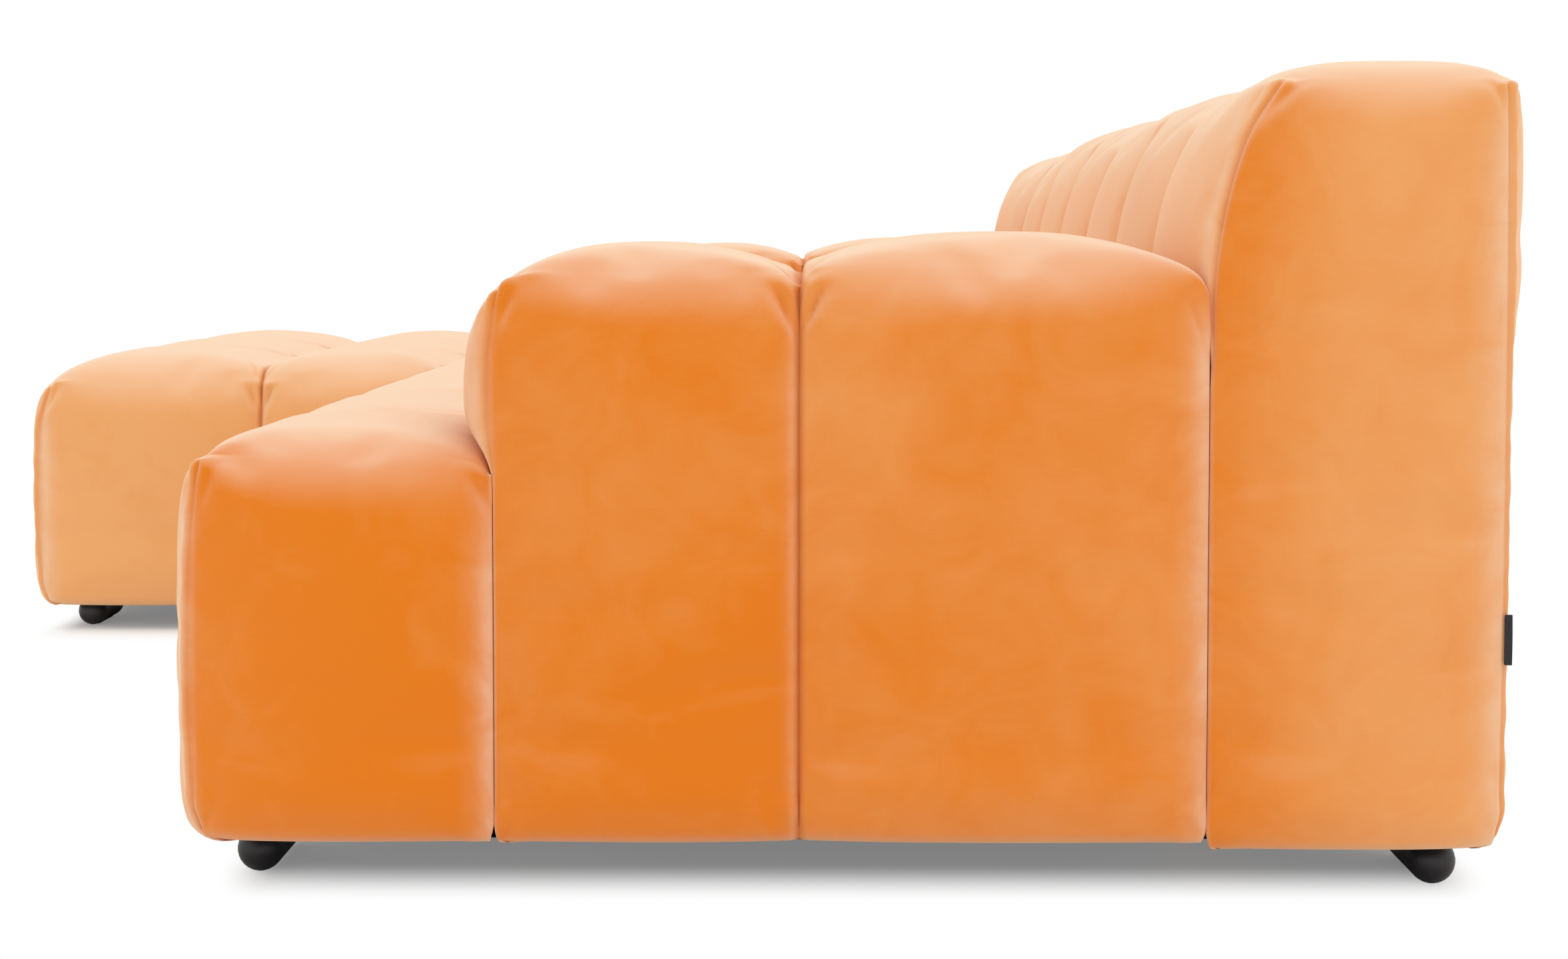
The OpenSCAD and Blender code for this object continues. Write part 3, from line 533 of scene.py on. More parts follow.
    def mark_skirt(self):
        """What holds, pulls and pads each point of the skirt, and its tone, painted shade and
        painted sheen.
        """
        i, j, corner, hidden = self.rim_i, self.rim_j, self.corner, self.hidden
        z = self.skirt[..., 2]
        under_rim = self.rim[:, 2] - z
        below = z < np.where(hidden, BASE_Z, self.free)
        tight = np.where(self.along_x, self.x.tight[i], self.y.tight[j]) | hidden
        self.skirt_tight = tight | below
        self.skirt_tight[HEM_ROW - 1:] = True
        share = np.where(self.along_x, self.x.seam_share()[i], self.y.seam_share()[j]) * ~hidden
        share = share ** (1 - PINCH_WIDENS * ease(under_rim / PINCH_WIDENS_IN))
        pinch = PINCH * np.exp(-(under_rim / PINCH_REACH_LOW) ** 2) * share
        pull = np.array([inward(WAYS.get(name, (0, 0)), *PINCH_WAY) for name in self.side])
        self.skirt_pull = pinch[..., None] * pull
        self.draw_corners()
        self.skirt_pad = self.full * ~hidden * ease((z - BASE_Z - HEM_R) / PAD_FADE) * ~below

        # Tone by cell and side, partly painted sheen, darker by a side's first corner where it has
        # shade
        self.skirt_nap_and_sheen = np.repeat(self.naps_and_sheen[self.x.cell[i], self.y.cell[j]][None], len(z), 0)
        for name, edge in self.sides.items():
            mine = self.side == name
            self.skirt_nap_and_sheen[:, mine] += edge.nap_and_sheen
            if edge.shade:
                depth, reach = edge.shade
                along = np.linalg.norm(self.place[mine] - self.place[mine][0], axis=1)
                self.skirt_nap_and_sheen[:, mine] -= depth * np.exp(-(along / reach) ** 2)
        # Painted shade in the side's seams and corners
        marks = np.flatnonzero(self.seam & ~hidden)
        gap = (self.rim_gap(marks) + CORNER_SEAM_SHADE_OFF * corner[marks]).min(1)
        self.skirt_painted_shade = np.repeat(painted_seam_shade(gap)[None], len(z), 0)
        # Painted sheen: a pale band beside each shown seam, fading towards the top
        marks = np.flatnonzero(self.seam & ~np.roll(hidden, 1))
        ahead = (self.around[marks][None, :] - self.around[:-1, None]) % self.around[-1]
        reach = np.where(corner[marks], SEAM_SHEEN_REACH_CORNER, SEAM_SHEEN_REACH)
        self.skirt_painted_seam_sheen = np.exp(-(ahead / reach) ** 2).max(1) * ease(under_rim / SEAM_SHEEN_FADE)

    def draw_corners(self):
        """Draws the top's corners in, where a free side meets them."""
        level, down = self.draw
        shown = np.isfinite(np.minimum(self.before, self.after))
        for q in np.flatnonzero(self.corner & shown):
            x, y = self.way[q]
            pull, reach = inward((CORNER_ALONG * x, y), level, down), CORNER_REACH
            if y > 0:
                pull, reach = inward((0, REAR_CORNER_ALONG), level, 2 * down), REAR_CORNER_REACH
            for places, pulls in ((self.top, self.top_pull), (self.skirt, self.skirt_pull)):
                near = np.exp(-(np.linalg.norm(places - self.rim[q], axis=-1) / reach) ** 2)
                pulls += near[..., None] * pull

    def mesh(self):
        """Joins the top and the skirt into one grid."""
        keep = np.ones((self.nx + 1, self.ny + 1), bool)
        keep[self.ic + 1:, self.jc + 1:] = False
        self.ids = ids = np.full(keep.shape, -1)
        ids[keep] = np.arange(keep.sum())
        count = len(self.points)
        self.ring = [ids[self.rim_i, self.rim_j]]
        self.ring += [keep.sum() + k * count + np.arange(count) for k in range(len(self.skirt))]
        self.heights = np.concatenate([self.rim[None, :, 2], self.skirt[..., 2]])

        cells = [ids[:-1, :-1], ids[1:, :-1], ids[1:, 1:], ids[:-1, 1:]]
        quads = [quad for quad in zip(*map(np.ravel, cells)) if min(quad) >= 0]
        for upper, lower in zip(self.ring, self.ring[1:]):
            quads += zip(upper, lower, np.roll(lower, -1), np.roll(upper, -1))

        tight = np.zeros(keep.shape, bool)
        for lines in (self.x, self.y):
            tight |= self.by_x_and_y(lines, lines.tight[:, None] & ~self.smooth_edge(lines))

        def joined(top, skirt):
            return np.concatenate([top[keep], skirt.reshape(-1, *top.shape[2:])])

        flip = np.array([-1, 1, 1]) if self.mirrored else 1
        self.co = joined(self.top, self.skirt) * flip
        self.quads = [q[::-1] for q in quads] if self.mirrored else quads
        self.pull = joined(self.top_pull, self.skirt_pull) * flip
        self.hold = joined(tight, self.skirt_tight)
        self.hold[self.ring[0][self.hidden | self.corner]] = True
        self.pad = joined(self.top_pad, self.skirt_pad)
        # Tone, painted shade and painted sheen, kept on the points for the velvet
        self.tone_shade_and_sheen = {"nap_and_sheen": joined(self.top_nap_and_sheen, self.skirt_nap_and_sheen),
                      "painted_shade": joined(self.top_painted_shade, self.skirt_painted_shade),
                      "painted_seam_sheen": joined(np.zeros_like(self.top_nap_and_sheen), self.skirt_painted_seam_sheen)}

    def smooth_edge(self, lines):
        """Grid points by an outer edge where the cloth wraps over without a seam."""
        wrap = False
        for side, e, _ in self.ends(lines):
            free = np.isfinite(self.free_z(side)) & ~self.along(side).tight
            wrap = wrap | ((e < WRAP_REACH)[:, None] & free[None, :])
        return wrap

    def seam_edges(self):
        """Pairs of neighbouring grid points that a seam joins."""
        pairs = []
        for lines, ids in ((self.x, self.ids), (self.y, self.ids.T)):
            for line in ids[lines.inner]:
                pairs += [(a, b) for a, b in zip(line, line[1:]) if min(a, b) >= 0]
        for upper, lower, z in zip(self.ring, self.ring[1:HEM_ROW + 1], self.heights[1:]):
            sewn = self.seam & (z > self.seam_from)
            pairs += zip(upper[sewn], lower[sewn])
        return pairs

    def on_top(self, x, y):
        """A place on the top, as grid points and their weights."""
        (i, a), (j, b) = bracket(self.x.pos, x), bracket(self.y.pos, y)
        ids = [self.ids[i, j], self.ids[i + 1, j], self.ids[i, j + 1], self.ids[i + 1, j + 1]]
        return ids, [(1 - a) * (1 - b), a * (1 - b), (1 - a) * b, a * b]

    def on_side(self, q, along, z):
        """A place on a side at height z, at a distance along the rim from its point q."""
        c, a = bracket(self.around, (self.around[q] + along) % self.around[-1])
        ids, weights = [], []
        for column, share in ((c, 1 - a), ((c + 1) % len(self.points), a)):
            k, t = bracket(-self.heights[:, column], -z)
            ids += [self.ring[k][column], self.ring[k + 1][column]]
            weights += [share * (1 - t), share * t]
        return ids, weights

    def vary(self, spread=VARY):
        return self.random.uniform(1 - spread, 1 + spread)

    def rim_folds(self, q, way, corner, sign):
        """Creases beside the rim's point q: down the side, up from the hem and on the top."""
        rim_z, hem_z = self.heights[0, q], self.heights[HEM_ROW, q]
        wide, deep = (size * self.vary() for size in SIDE_FOLD)
        wide *= sign
        depth = (CORNER_FOLD_DEPTH if corner else SEAM_FOLD_DEPTH) * self.vary()
        yield ([self.on_side(q, 1.2 * wide, rim_z - SIDE_FOLD_START),
                self.on_side(q, 0.6 * wide, rim_z - 0.5 * deep),
                self.on_side(q, 0.001 * sign, rim_z - deep)], depth, SIDE_FOLD_W)
        if self.free[(q + 2 * sign) % len(self.points)] <= BASE_Z:
            end = (HEM_FOLD[0] * self.vary() * sign, hem_z + HEM_FOLD[1] * self.vary())
            yield ([self.on_side(q, 0.004 * sign, hem_z), self.on_side(q, *end)],
                   HEM_FOLD_DEPTH * self.vary(), HEM_FOLD_W)
        if not corner:
            run, into = np.array([-way[1], way[0]]) * sign, -np.array(way)
            (a, b), *further = TOP_FOLD
            spots = [(a, b)] + [(a * self.vary(), b) for a, b in further]
            spots = [self.place[q] + run * a + into * b for a, b in spots]
            yield [self.on_top(*s) for s in spots], TOP_FOLD_DEPTH * self.vary(), TOP_FOLD_W

    def folds(self):
        """Creases where seams end or cross: places along each, its depth and its width."""
        found = []
        shown = ~self.hidden
        for q, (_, _, _, way, corner) in enumerate(self.points):
            if self.seam[q] and (corner or shown[q]):
                for sign, beside in ((-1, q - 2), (1, (q + 2) % len(self.points))):
                    if shown[beside]:
                        found += self.rim_folds(q, way, corner, sign)
        for x in self.x.pos[self.x.inner]:
            for y in self.y.pos[self.y.inner]:
                for a, b in ((1, 1), (1, -1), (-1, 1), (-1, -1)):
                    a, b = (way * CROSS_FOLD * self.vary(CROSS_VARY) for way in (a, b))
                    path = [self.on_top(x + a * t, y + b * t) for t in (0.2, 0.6, 1.0)]
                    found.append((path, CROSS_FOLD_DEPTH * self.vary(), CROSS_FOLD_W))
        return [fold for fold in found if min(min(ids) for ids, _ in fold[0]) >= 0]


def columns(channels, mirrored):
    """Seam lines along X, from the split to the end."""
    inner = (-SPLIT_X if mirrored else SPLIT_X) + GAP / 2
    return [inner] + [HALF_W - k * CHANNEL_W for k in range(channels - 1, -1, -1)]


def seat_cover(name, channels, ys, front, inner_side, mirrored, hang, naps_and_sheen, draw):
    xs = columns(channels, mirrored)
    xs[-2] -= GAP
    rows = len(ys) - 1
    sides = {
        "front": front,
        "right": Edge(0.022, 0.017, 0.060, (BASE_Z,) * rows),
        "rear": Edge(0.040, 0.0, 0.080, (None,) * channels),
        "left": inner_side,
    }
    return Cover(name, xs, ys, [SEAT_Z] * rows, SEAT_GROOVES[channels - 2::-1], [DEEP] * (rows - 1),
                 sides, mirrored, hang, notch=True, naps_and_sheen=naps_and_sheen, draw=draw)


def arm_cover(name, mirrored, naps_and_sheen=None):
    sides = {
        "front": Edge(0.038, 0.038, 0.120, (ARM_FRONT_Z,), 0.008, nap_and_sheen=0.4),
        "right": Edge(0.022, 0.017, 0.060, (BASE_Z,) * 2),
        "rear": Edge(0.055, 0.0, 0.160, (None,)),
        "left": Edge(0.022, 0.012, 0.060, (ABOVE_SEAT_Z,) * 2),
    }
    return Cover(name, [ARM_X, HALF_W], [ARM_Y, ARM_MID_Y, BACK_Y - GAP],
                 [ARM_Z - ARM_STEP, ARM_Z], [], [DEEP], sides, mirrored, SEAT_HANG, naps_and_sheen=naps_and_sheen)


def back_cover(name, channels, mirrored, front, naps_and_sheen=None):
    grooves = [BACK_DEEP if k % 2 else BACK_SHALLOW for k in range(channels - 1, 0, -1)]
    front_free = (ABOVE_SEAT_Z,) * (channels - 1) + (BACK_END_Z,)
    drop, run, outer = front
    sides = {
        "front": Edge(drop, 0.024, run, front_free, outer=outer, nap_and_sheen=0.05),
        "right": Edge(0.016, 0.019, 0.062, (BASE_Z,), shade=(0.5, 0.075)),
        "rear": Edge(0.014, 0.035, 0.080, (BASE_Z,) * channels, 0.004, slim=0.66),
        "left": Edge(0.014, 0.0, 0.060, (None,)),
    }
    return Cover(name, columns(channels, mirrored), [REAR_Y - BACK_TOP_D, REAR_Y], [BACK_CROWN],
                 grooves, [], sides, mirrored, BACK_HANG, lean=REAR_Y - BACK_Y - BACK_TOP_D,
                 naps_and_sheen=naps_and_sheen, scallop=BACK_SCALLOP, draw=(0.012, 0.002))


def all_covers():
    right_rows = [SEAT_Y, ARM_Y - GAP, ARM_MID_Y, BACK_Y - GAP]
    left_rows = [CHAISE_Y, CHAISE_MID_Y] + right_rows
    hidden = (None,) * 3
    joined = Edge(0.022, 0.012, 0.060, hidden)
    seat_front = Edge(0.024, 0.028, 0.080, (BASE_Z,) * RIGHT_CHANNELS, 0.011, nap_and_sheen=0.4)
    chaise_front = Edge(0.050, 0.028, 0.170, (BASE_Z,) * LEFT_CHANNELS, 0.012, nap_and_sheen=-0.3)
    chaise_side = Edge(0.042, 0.014, 0.120, (BASE_Z, BASE_Z) + hidden, shut=joined)
    # The listed cell tones and front offsets are partly painted sheen: the seat's end panel
    # deepest, the chaise's side and the backrest's end paler
    return [
        seat_cover("seat_cover_right", RIGHT_CHANNELS, right_rows, seat_front, joined, False,
                   SEAT_HANG, {(RIGHT_CHANNELS - 1, 0): 0.0}, DRAW),
        seat_cover("seat_cover_left", LEFT_CHANNELS, left_rows, chaise_front, chaise_side, True,
                   CHAISE_HANG, {(0, 0): 1.0, (0, 1): 0.9}, (0.012, 0.001)),
        arm_cover("arm_cover_right", False, {(0, 0): 0.05, (0, 1): 0.32}),
        arm_cover("arm_cover_left", True),
        back_cover("back_cover_right", RIGHT_CHANNELS, False, (0.013, 0.090, 1.3),
                   {(RIGHT_CHANNELS - 1, 0): 0.68}),
        back_cover("back_cover_left", LEFT_CHANNELS, True, (0.024, 0.110, 0.7)),
    ]


def link(name, data):
    """A new object in the scene, with its data."""
    obj = bpy.data.objects.new(name, data)
    bpy.context.scene.collection.objects.link(obj)
    return obj


def new_object(name, co, faces):
    mesh = bpy.data.meshes.new(name)
    mesh.from_pydata(co.tolist(), [], [tuple(int(v) for v in face) for face in faces])
    return link(name, mesh)


def read(items, key, width=3, kind=float):
    """One property of all of a mesh's vertices, edges or values, as rows."""
    values = np.empty(len(items) * width, kind)
    items.foreach_get(key, values)
    return values.reshape(-1, width)


def coordinates(mesh):
    return read(mesh.vertices, "co")


def write_coordinates(mesh, co):
    mesh.vertices.foreach_set("co", co.ravel())
    mesh.update()


def inflate(pads):
    """Blows the cloth of all covers up between their held seams, and caps how far it moves."""
    for obj, cover in pads:
        group = obj.vertex_groups.new(name="hold")
        group.add(np.flatnonzero(cover.hold).tolist(), 1.0, "REPLACE")
        cloth = obj.modifiers.new("Cloth", "CLOTH")
        s = cloth.settings
        s.vertex_group_mass = "hold"
        s.quality = 4
        s.mass = 0.4
        s.tension_stiffness = s.compression_stiffness = 18
        s.shear_stiffness = 8
        s.bending_stiffness = 2.5
        s.shrink_min = -0.012
        s.use_pressure = True
        s.uniform_pressure_force = 5
        s.effector_weights.gravity = 0
        cloth.collision_settings.use_collision = False
        cloth.point_cache.frame_start = 1
        cloth.point_cache.frame_end = FRAMES
    scene = bpy.context.scene
    for frame_number in range(1, FRAMES + 1):
        scene.frame_set(frame_number)
    graph = bpy.context.evaluated_depsgraph_get()
    for obj, _ in pads:
        before = coordinates(obj.data)
        move = coordinates(obj.evaluated_get(graph).data) - before
        length = np.linalg.norm(move, axis=1, keepdims=True)
        move *= MOST_MOVE * np.tanh(length / MOST_MOVE) / np.maximum(length, 1e-9)
        obj.modifiers.clear()
        obj.vertex_groups.clear()
        write_coordinates(obj.data, before + move)
    scene.frame_set(1)


def averaged(values, edges, times):
    """Smooths values on vertices with their neighbours' along the edges."""
    shape = (-1,) + (1,) * (values.ndim - 1)
    count = np.bincount(edges.ravel(), minlength=len(values)).reshape(shape) + 1
    for _ in range(times):
        total = values.copy()
        np.add.at(total, edges[:, 0], values[edges[:, 1]])
        np.add.at(total, edges[:, 1], values[edges[:, 0]])
        values = total / count
    return values


def sew(obj, seams):
    """Draws the seam lines in, and marks them so that subdivision keeps them sharp."""
    mesh = obj.data
    co, normal = coordinates(mesh), read(mesh.vertices, "normal")
    on_seam = np.unique(np.array(seams))
    co[on_seam] -= normal[on_seam] * STITCH_IN
    write_coordinates(mesh, co)
    sharp = {tuple(sorted((int(a), int(b)))) for a, b in seams}
    crease = mesh.attributes.new("crease_edge", "FLOAT", "EDGE")
    values = [1.0 if tuple(sorted(e.vertices)) in sharp else 0.0 for e in mesh.edges]
    crease.data.foreach_set("value", values)


def fold_paths(co, folds):
    """Turns each fold's places into points on the sewn cover."""
    return [(np.array([np.array(weights) @ co[ids] for ids, weights in places]), depth, width)
            for places, depth, width in folds]


def press_folds(obj, paths):
    """Presses creases into a mesh, deepest a third along, with a raised lip on each side, and
    paints shade into them by how deep they are.
    """
    co = coordinates(obj.data)
    edges = read(obj.data.edges, "vertices", 2, int)
    normal = averaged(read(obj.data.vertices, "normal"), edges, 6)
    normal /= np.linalg.norm(normal, axis=1, keepdims=True)
    move = np.zeros(len(co))
    for path, depth, width in paths:
        reach = FOLD_REACH * width
        near = np.flatnonzero(((co > path.min(0) - reach) & (co < path.max(0) + reach)).all(1))
        best, along = np.full(len(near), np.inf), np.zeros(len(near))
        for k, (a, b) in enumerate(zip(path, path[1:])):
            t = np.clip((co[near] - a) @ (b - a) / ((b - a) @ (b - a)), 0, 1)
            gap = np.linalg.norm(co[near] - a - t[:, None] * (b - a), axis=1)
            closer = gap < best
            best[closer] = gap[closer]
            along[closer] = (k + t[closer]) / (len(path) - 1)
        lip = np.exp(-(best / width - FOLD_LIP_OFF) ** 2)
        swell = np.sin(np.pi * np.clip(along, 0, 1) ** FOLD_POWER) + FOLD_START * (1 - along)
        move[near] += depth * swell * (FOLD_LIP * lip - np.exp(-(best / width) ** 2))
    move = averaged(np.clip(move, *FOLD_LIMITS), edges, 1)
    write_coordinates(obj.data, co + normal * move[:, None])
    # Painted shade in each crease, deeper where it is pressed in further
    layer = obj.data.attributes["painted_shade"].data
    painted_shade = np.maximum(read(layer, "value", 1).ravel(), np.clip(-move / FOLD_FULL, 0, 1))
    layer.foreach_set("value", painted_shade)


def smooth(mesh):
    mesh.polygons.foreach_set("use_smooth", [True] * len(mesh.polygons))


def round_off(obj):
    """Subdivides the cover, and closes it below with one flat face."""
    sub = obj.modifiers.new("Round", "SUBSURF")
    sub.levels = sub.render_levels = 1
    sub.boundary_smooth = "ALL"
    graph = bpy.context.evaluated_depsgraph_get()
    mesh = bpy.data.meshes.new_from_object(obj.evaluated_get(graph))
    obj.modifiers.clear()
    bm = bmesh.new()
    bm.from_mesh(mesh)
    rim = [e for e in bm.edges if e.is_boundary]
    bmesh.ops.holes_fill(bm, edges=rim, sides=0)
    bmesh.ops.recalc_face_normals(bm, faces=bm.faces)
    bm.to_mesh(mesh)
    bm.free()
    smooth(mesh)
    obj.data = mesh
    obj.data.name = obj.name


class Nodes:
    """Short calls for building one material's nodes. A value is a number, a colour or a socket."""

    def __init__(self, name):
        self.mat = bpy.data.materials.new(name)
        self.mat.use_nodes = True
        self.tree = self.mat.node_tree
        self.bsdf = self.tree.nodes["Principled BSDF"]
        self.place = self.add("ShaderNodeTexCoord")

    def put(self, value, socket):
        if isinstance(value, bpy.types.NodeSocket):
            self.tree.links.new(value, socket)
        else:
            socket.default_value = value

    def set(self, node, **values):
        """Sets the node's inputs by name, with _ for a space, and its own settings."""
        for key, value in values.items():
            name = key.replace("_", " ")
            if name in node.inputs:
                self.put(value, node.inputs[name])
            else:
                setattr(node, key, value)

    def add(self, kind, *inputs, **values):
        node = self.tree.nodes.new(kind)
        self.set(node, **values)
        for socket, value in zip(node.inputs, inputs):
            self.put(value, socket)
        return node

    def math(self, kind, *values):
        return self.add("ShaderNodeMath", *values, operation=kind).outputs[0]

    def vector(self, kind, *values):
        node = self.add("ShaderNodeVectorMath", *values, operation=kind)
        return node.outputs["Value" if kind == "LENGTH" else "Vector"]

    def both(self, a, b, share):
        """A share of one value, and the rest of another."""
        return self.math("MULTIPLY_ADD", a, share, self.math("MULTIPLY", b, 1 - share))

    def noise(self, scale=1.0, detail=2.0, rough=0.5, distort=0.0, stretch=None):
        vector = self.place.outputs["Object"]
        if stretch:
            mapping = self.add("ShaderNodeMapping", Vector=vector, Scale=stretch)
            vector = mapping.outputs["Vector"]
        return self.add("ShaderNodeTexNoise", Vector=vector, Scale=scale, Detail=detail,
                        Roughness=rough, Distortion=distort).outputs["Fac"]

    def map(self, value, low, high, to_low, to_high, kind="LINEAR"):
        """Takes values from low to high to those between two others."""
        return self.add("ShaderNodeMapRange", interpolation_type=kind, Value=value, From_Min=low,
                        From_Max=high, To_Min=to_low, To_Max=to_high).outputs["Result"]

    def mix(self, share, a, b):
        """A colour between two others."""
        return self.add("ShaderNodeMix", data_type="RGBA", Factor=share, A=a, B=b).outputs["Result"]

    def ramp(self, value, *stops):
        """A colour that follows a value. Each stop is a position and a colour."""
        node = self.add("ShaderNodeValToRGB", value)
        for element, (position, color) in zip(node.color_ramp.elements, stops):
            element.position, element.color = position, (*color, 1)
        return node.outputs["Color"]

    def finish(self, color, bump, **values):
        """Sets the shader, with a bump of a height, a strength and a distance."""
        height, strength, distance = bump
        node = self.add("ShaderNodeBump", Height=height, Strength=strength, Distance=distance)
        self.set(self.bsdf, Base_Color=color, Normal=node.outputs["Normal"], **values)
        return self.mat


def velvet():
    """Cut pile: clouds and hand marks where it is brushed up, a fine grain and a soft sheen, with
    painted sheen that pales it where it faces up or turns from the view, painted shade in seams and
    creases, and panel tones that are partly painted sheen.
    """
    m = Nodes("velvet")
    nap_and_sheen, painted_shade, painted_seam_sheen = (m.add("ShaderNodeAttribute", attribute_name=name).outputs["Fac"]
                      for name in ("nap_and_sheen", "painted_shade", "painted_seam_sheen"))
    clouds = m.noise(3.2, detail=3.0, rough=0.55, distort=0.4)
    marks = m.noise(14.0, detail=4.0, rough=0.6, distort=1.0)
    grain = m.noise(480.0, rough=0.6)
    weft = m.noise(detail=1.0, stretch=(60, 60, 900))
    shade = m.math("MULTIPLY_ADD", clouds, 0.8, m.math("MULTIPLY_ADD", marks, 0.45, -0.62))
    shade = m.math("ADD", shade, m.math("MULTIPLY_ADD", weft, 0.10, -0.05))
    # Each panel's tone, partly painted sheen; the ramp's pale end stands in for that sheen
    shade = m.math("ADD", shade, nap_and_sheen)
    pile = m.ramp(shade, (0.0, (0.775, 0.200, 0.010)), (1.0, (0.850, 0.405, 0.150)))
    # Painted shade: the pile turns deep orange in seams, creases and where covers meet
    dark = m.math("MULTIPLY", m.math("POWER", painted_shade, 2.0), 0.55)
    pile = m.mix(dark, pile, (0.56, 0.120, 0.003, 1))

    # Painted sheen and painted light from above: paler where the pile turns away from the view and
    # where it faces up
    facing = m.add("ShaderNodeLayerWeight", Blend=0.5).outputs["Facing"]
    normal = m.add("ShaderNodeSeparateXYZ", Vector=m.place.outputs["Normal"])
    painted_sheen = m.math("MULTIPLY", m.math("POWER", facing, 1.4), 0.58)
    painted_sheen = m.math("ADD", painted_sheen, m.map(normal.outputs["Z"], 0.10, 1.0, 0.0, 0.61))
    # Painted sheen beside the seams, patchy with the marks
    painted_seam_sheen = m.math("MULTIPLY", painted_seam_sheen, m.math("MULTIPLY_ADD", marks, 0.85, -0.03))
    painted_sheen = m.math("ADD", painted_sheen, painted_seam_sheen)
    painted_sheen = m.math("MULTIPLY", painted_sheen, m.math("MULTIPLY_ADD", painted_shade, -0.9, 1.0))
    color = m.mix(m.math("MINIMUM", painted_sheen, 1.0), pile, (0.87, 0.63, 0.455, 1))
    return m.finish(color, (grain, 0.12, 0.0006), Roughness=0.85, Sheen_Weight=0.28,
                    Sheen_Roughness=0.42, Sheen_Tint=(1.0, 0.78, 0.50, 1),
                    Specular_IOR_Level=0.15)


def timber(name, along):
    """Sawn softwood with its grain along one axis."""
    m = Nodes(name)
    stretch = [2.5 if axis == along else 45.0 for axis in "XYZ"]
    grain = m.noise(detail=5.0, rough=0.6, distort=0.7, stretch=stretch)
    fine = m.noise(detail=3.0, rough=0.6, stretch=[7 * v for v in stretch])
    shade = m.both(grain, fine, 0.7)
    color = m.ramp(shade, (0.36, (0.40, 0.24, 0.115)), (0.62, (0.68, 0.49, 0.29)))
    return m.finish(color, (fine, 0.25, 0.0005), Roughness=0.72)


def plywood():
    """Birch plywood: soft flames on the face, and its plies as lines across the thickness."""
    m = Nodes("plywood")
    flame = m.noise(detail=4.0, rough=0.55, distort=1.2, stretch=(14, 3, 30))
    plies = m.noise(detail=0.0, stretch=(700, 2, 2))
    shade = m.both(flame, plies, 0.75)
    color = m.ramp(shade, (0.38, (0.50, 0.34, 0.19)), (0.62, (0.74, 0.58, 0.38)))
    return m.finish(color, (flame, 0.15, 0.0004), Roughness=0.6)


def foam():
    """Cut upholstery foam with open cells."""
    m = Nodes("foam")
    cells = m.add("ShaderNodeTexVoronoi", Vector=m.place.outputs["Object"], Scale=520.0)
    age = m.noise(4.0, detail=3.0)
    color = m.ramp(age, (0.35, (0.80, 0.72, 0.50)), (0.65, (0.88, 0.83, 0.66)))
    return m.finish(color, (cells.outputs["Distance"], 0.5, 0.0008), Roughness=0.95,
                    Specular_IOR_Level=0.2)


def metal(name, dark, light, rough):
    """Plated or oiled steel, with its shine a little uneven."""
    m = Nodes(name)
    film = m.noise(60.0, detail=4.0, rough=0.6)
    return m.finish(m.ramp(film, (0.35, dark), (0.65, light)), (film, 0.08, 0.0003), Metallic=1.0,
                    Roughness=m.math("MULTIPLY_ADD", film, 0.22, rough - 0.11))


def molded(name, dark, light, rough):
    """Black coated or moulded surface with a fine orange-peel texture."""
    m = Nodes(name)
    wear = m.noise(18.0, detail=4.0, rough=0.6)
    return m.finish(m.ramp(wear, (0.35, dark), (0.70, light)), (m.noise(420.0), 0.18, 0.0003),
                    Roughness=m.math("MULTIPLY_ADD", wear, 0.16, rough - 0.08))


def woven(name, dark, light, threads):
    """A woven or pressed cloth: threads per metre along X, Y and Z."""
    m = Nodes(name)
    weave = m.noise(detail=1.0, stretch=threads)
    lint = m.noise(35.0, detail=4.0, rough=0.7)
    color = m.ramp(m.both(weave, lint, 0.6), (0.36, dark), (0.66, light))
    return m.finish(color, (weave, 0.4, 0.0004), Roughness=0.85, Specular_IOR_Level=0.3)


def tag_cloth():
    """Black satin ribbon."""
    m = Nodes("tag_satin")
    weave = m.noise(detail=1.0, stretch=(900, 900, 2600))
    color = m.ramp(weave, (0.35, (0.006, 0.006, 0.007)), (0.65, (0.022, 0.021, 0.023)))
    return m.finish(color, (weave, 0.3, 0.0003), Roughness=0.55, Specular_IOR_Level=0.4)


def dress_frame():
    """Gives every CAD node that still shows its own finish."""
    zinc = metal("zinc", (0.50, 0.51, 0.52), (0.72, 0.72, 0.70), 0.36)
    black_coat = molded("foot_black", (0.009, 0.008, 0.011), (0.016, 0.015, 0.019), 0.42)
    upright = timber("timber_upright", "Z")
    finishes = {
        "arm_boards": plywood(), "arm_ribs": upright, "back_frame": upright,
        "seat_rails": timber("timber_rail", "X"), "cross_rails": timber("timber_cross", "Y"),
        "foam": foam(),
        "back_webbing": woven("webbing", (0.016, 0.016, 0.018), (0.050, 0.048, 0.050),
                              (300, 300, 700)),
        "dust_cover": woven("dust_cloth", (0.012, 0.012, 0.013), (0.034, 0.034, 0.036),
                            (500, 500, 500)),
        "seat_springs": metal("spring_steel", (0.11, 0.115, 0.13), (0.22, 0.225, 0.24), 0.40),
        "spring_clips": molded("nylon", (0.016, 0.016, 0.018), (0.030, 0.030, 0.032), 0.5),
        "foot_bars": black_coat, "foot_saddles": black_coat,
        "foot_glides": molded("glide_rubber", (0.010, 0.010, 0.010), (0.022, 0.022, 0.022), 0.7),
    }
    for name, obj in frame["nodes"].items():
        fit = [finish for key, finish in finishes.items() if key in name]
        obj.data.materials.clear()
        obj.data.materials.append(fit[0] if fit else zinc)


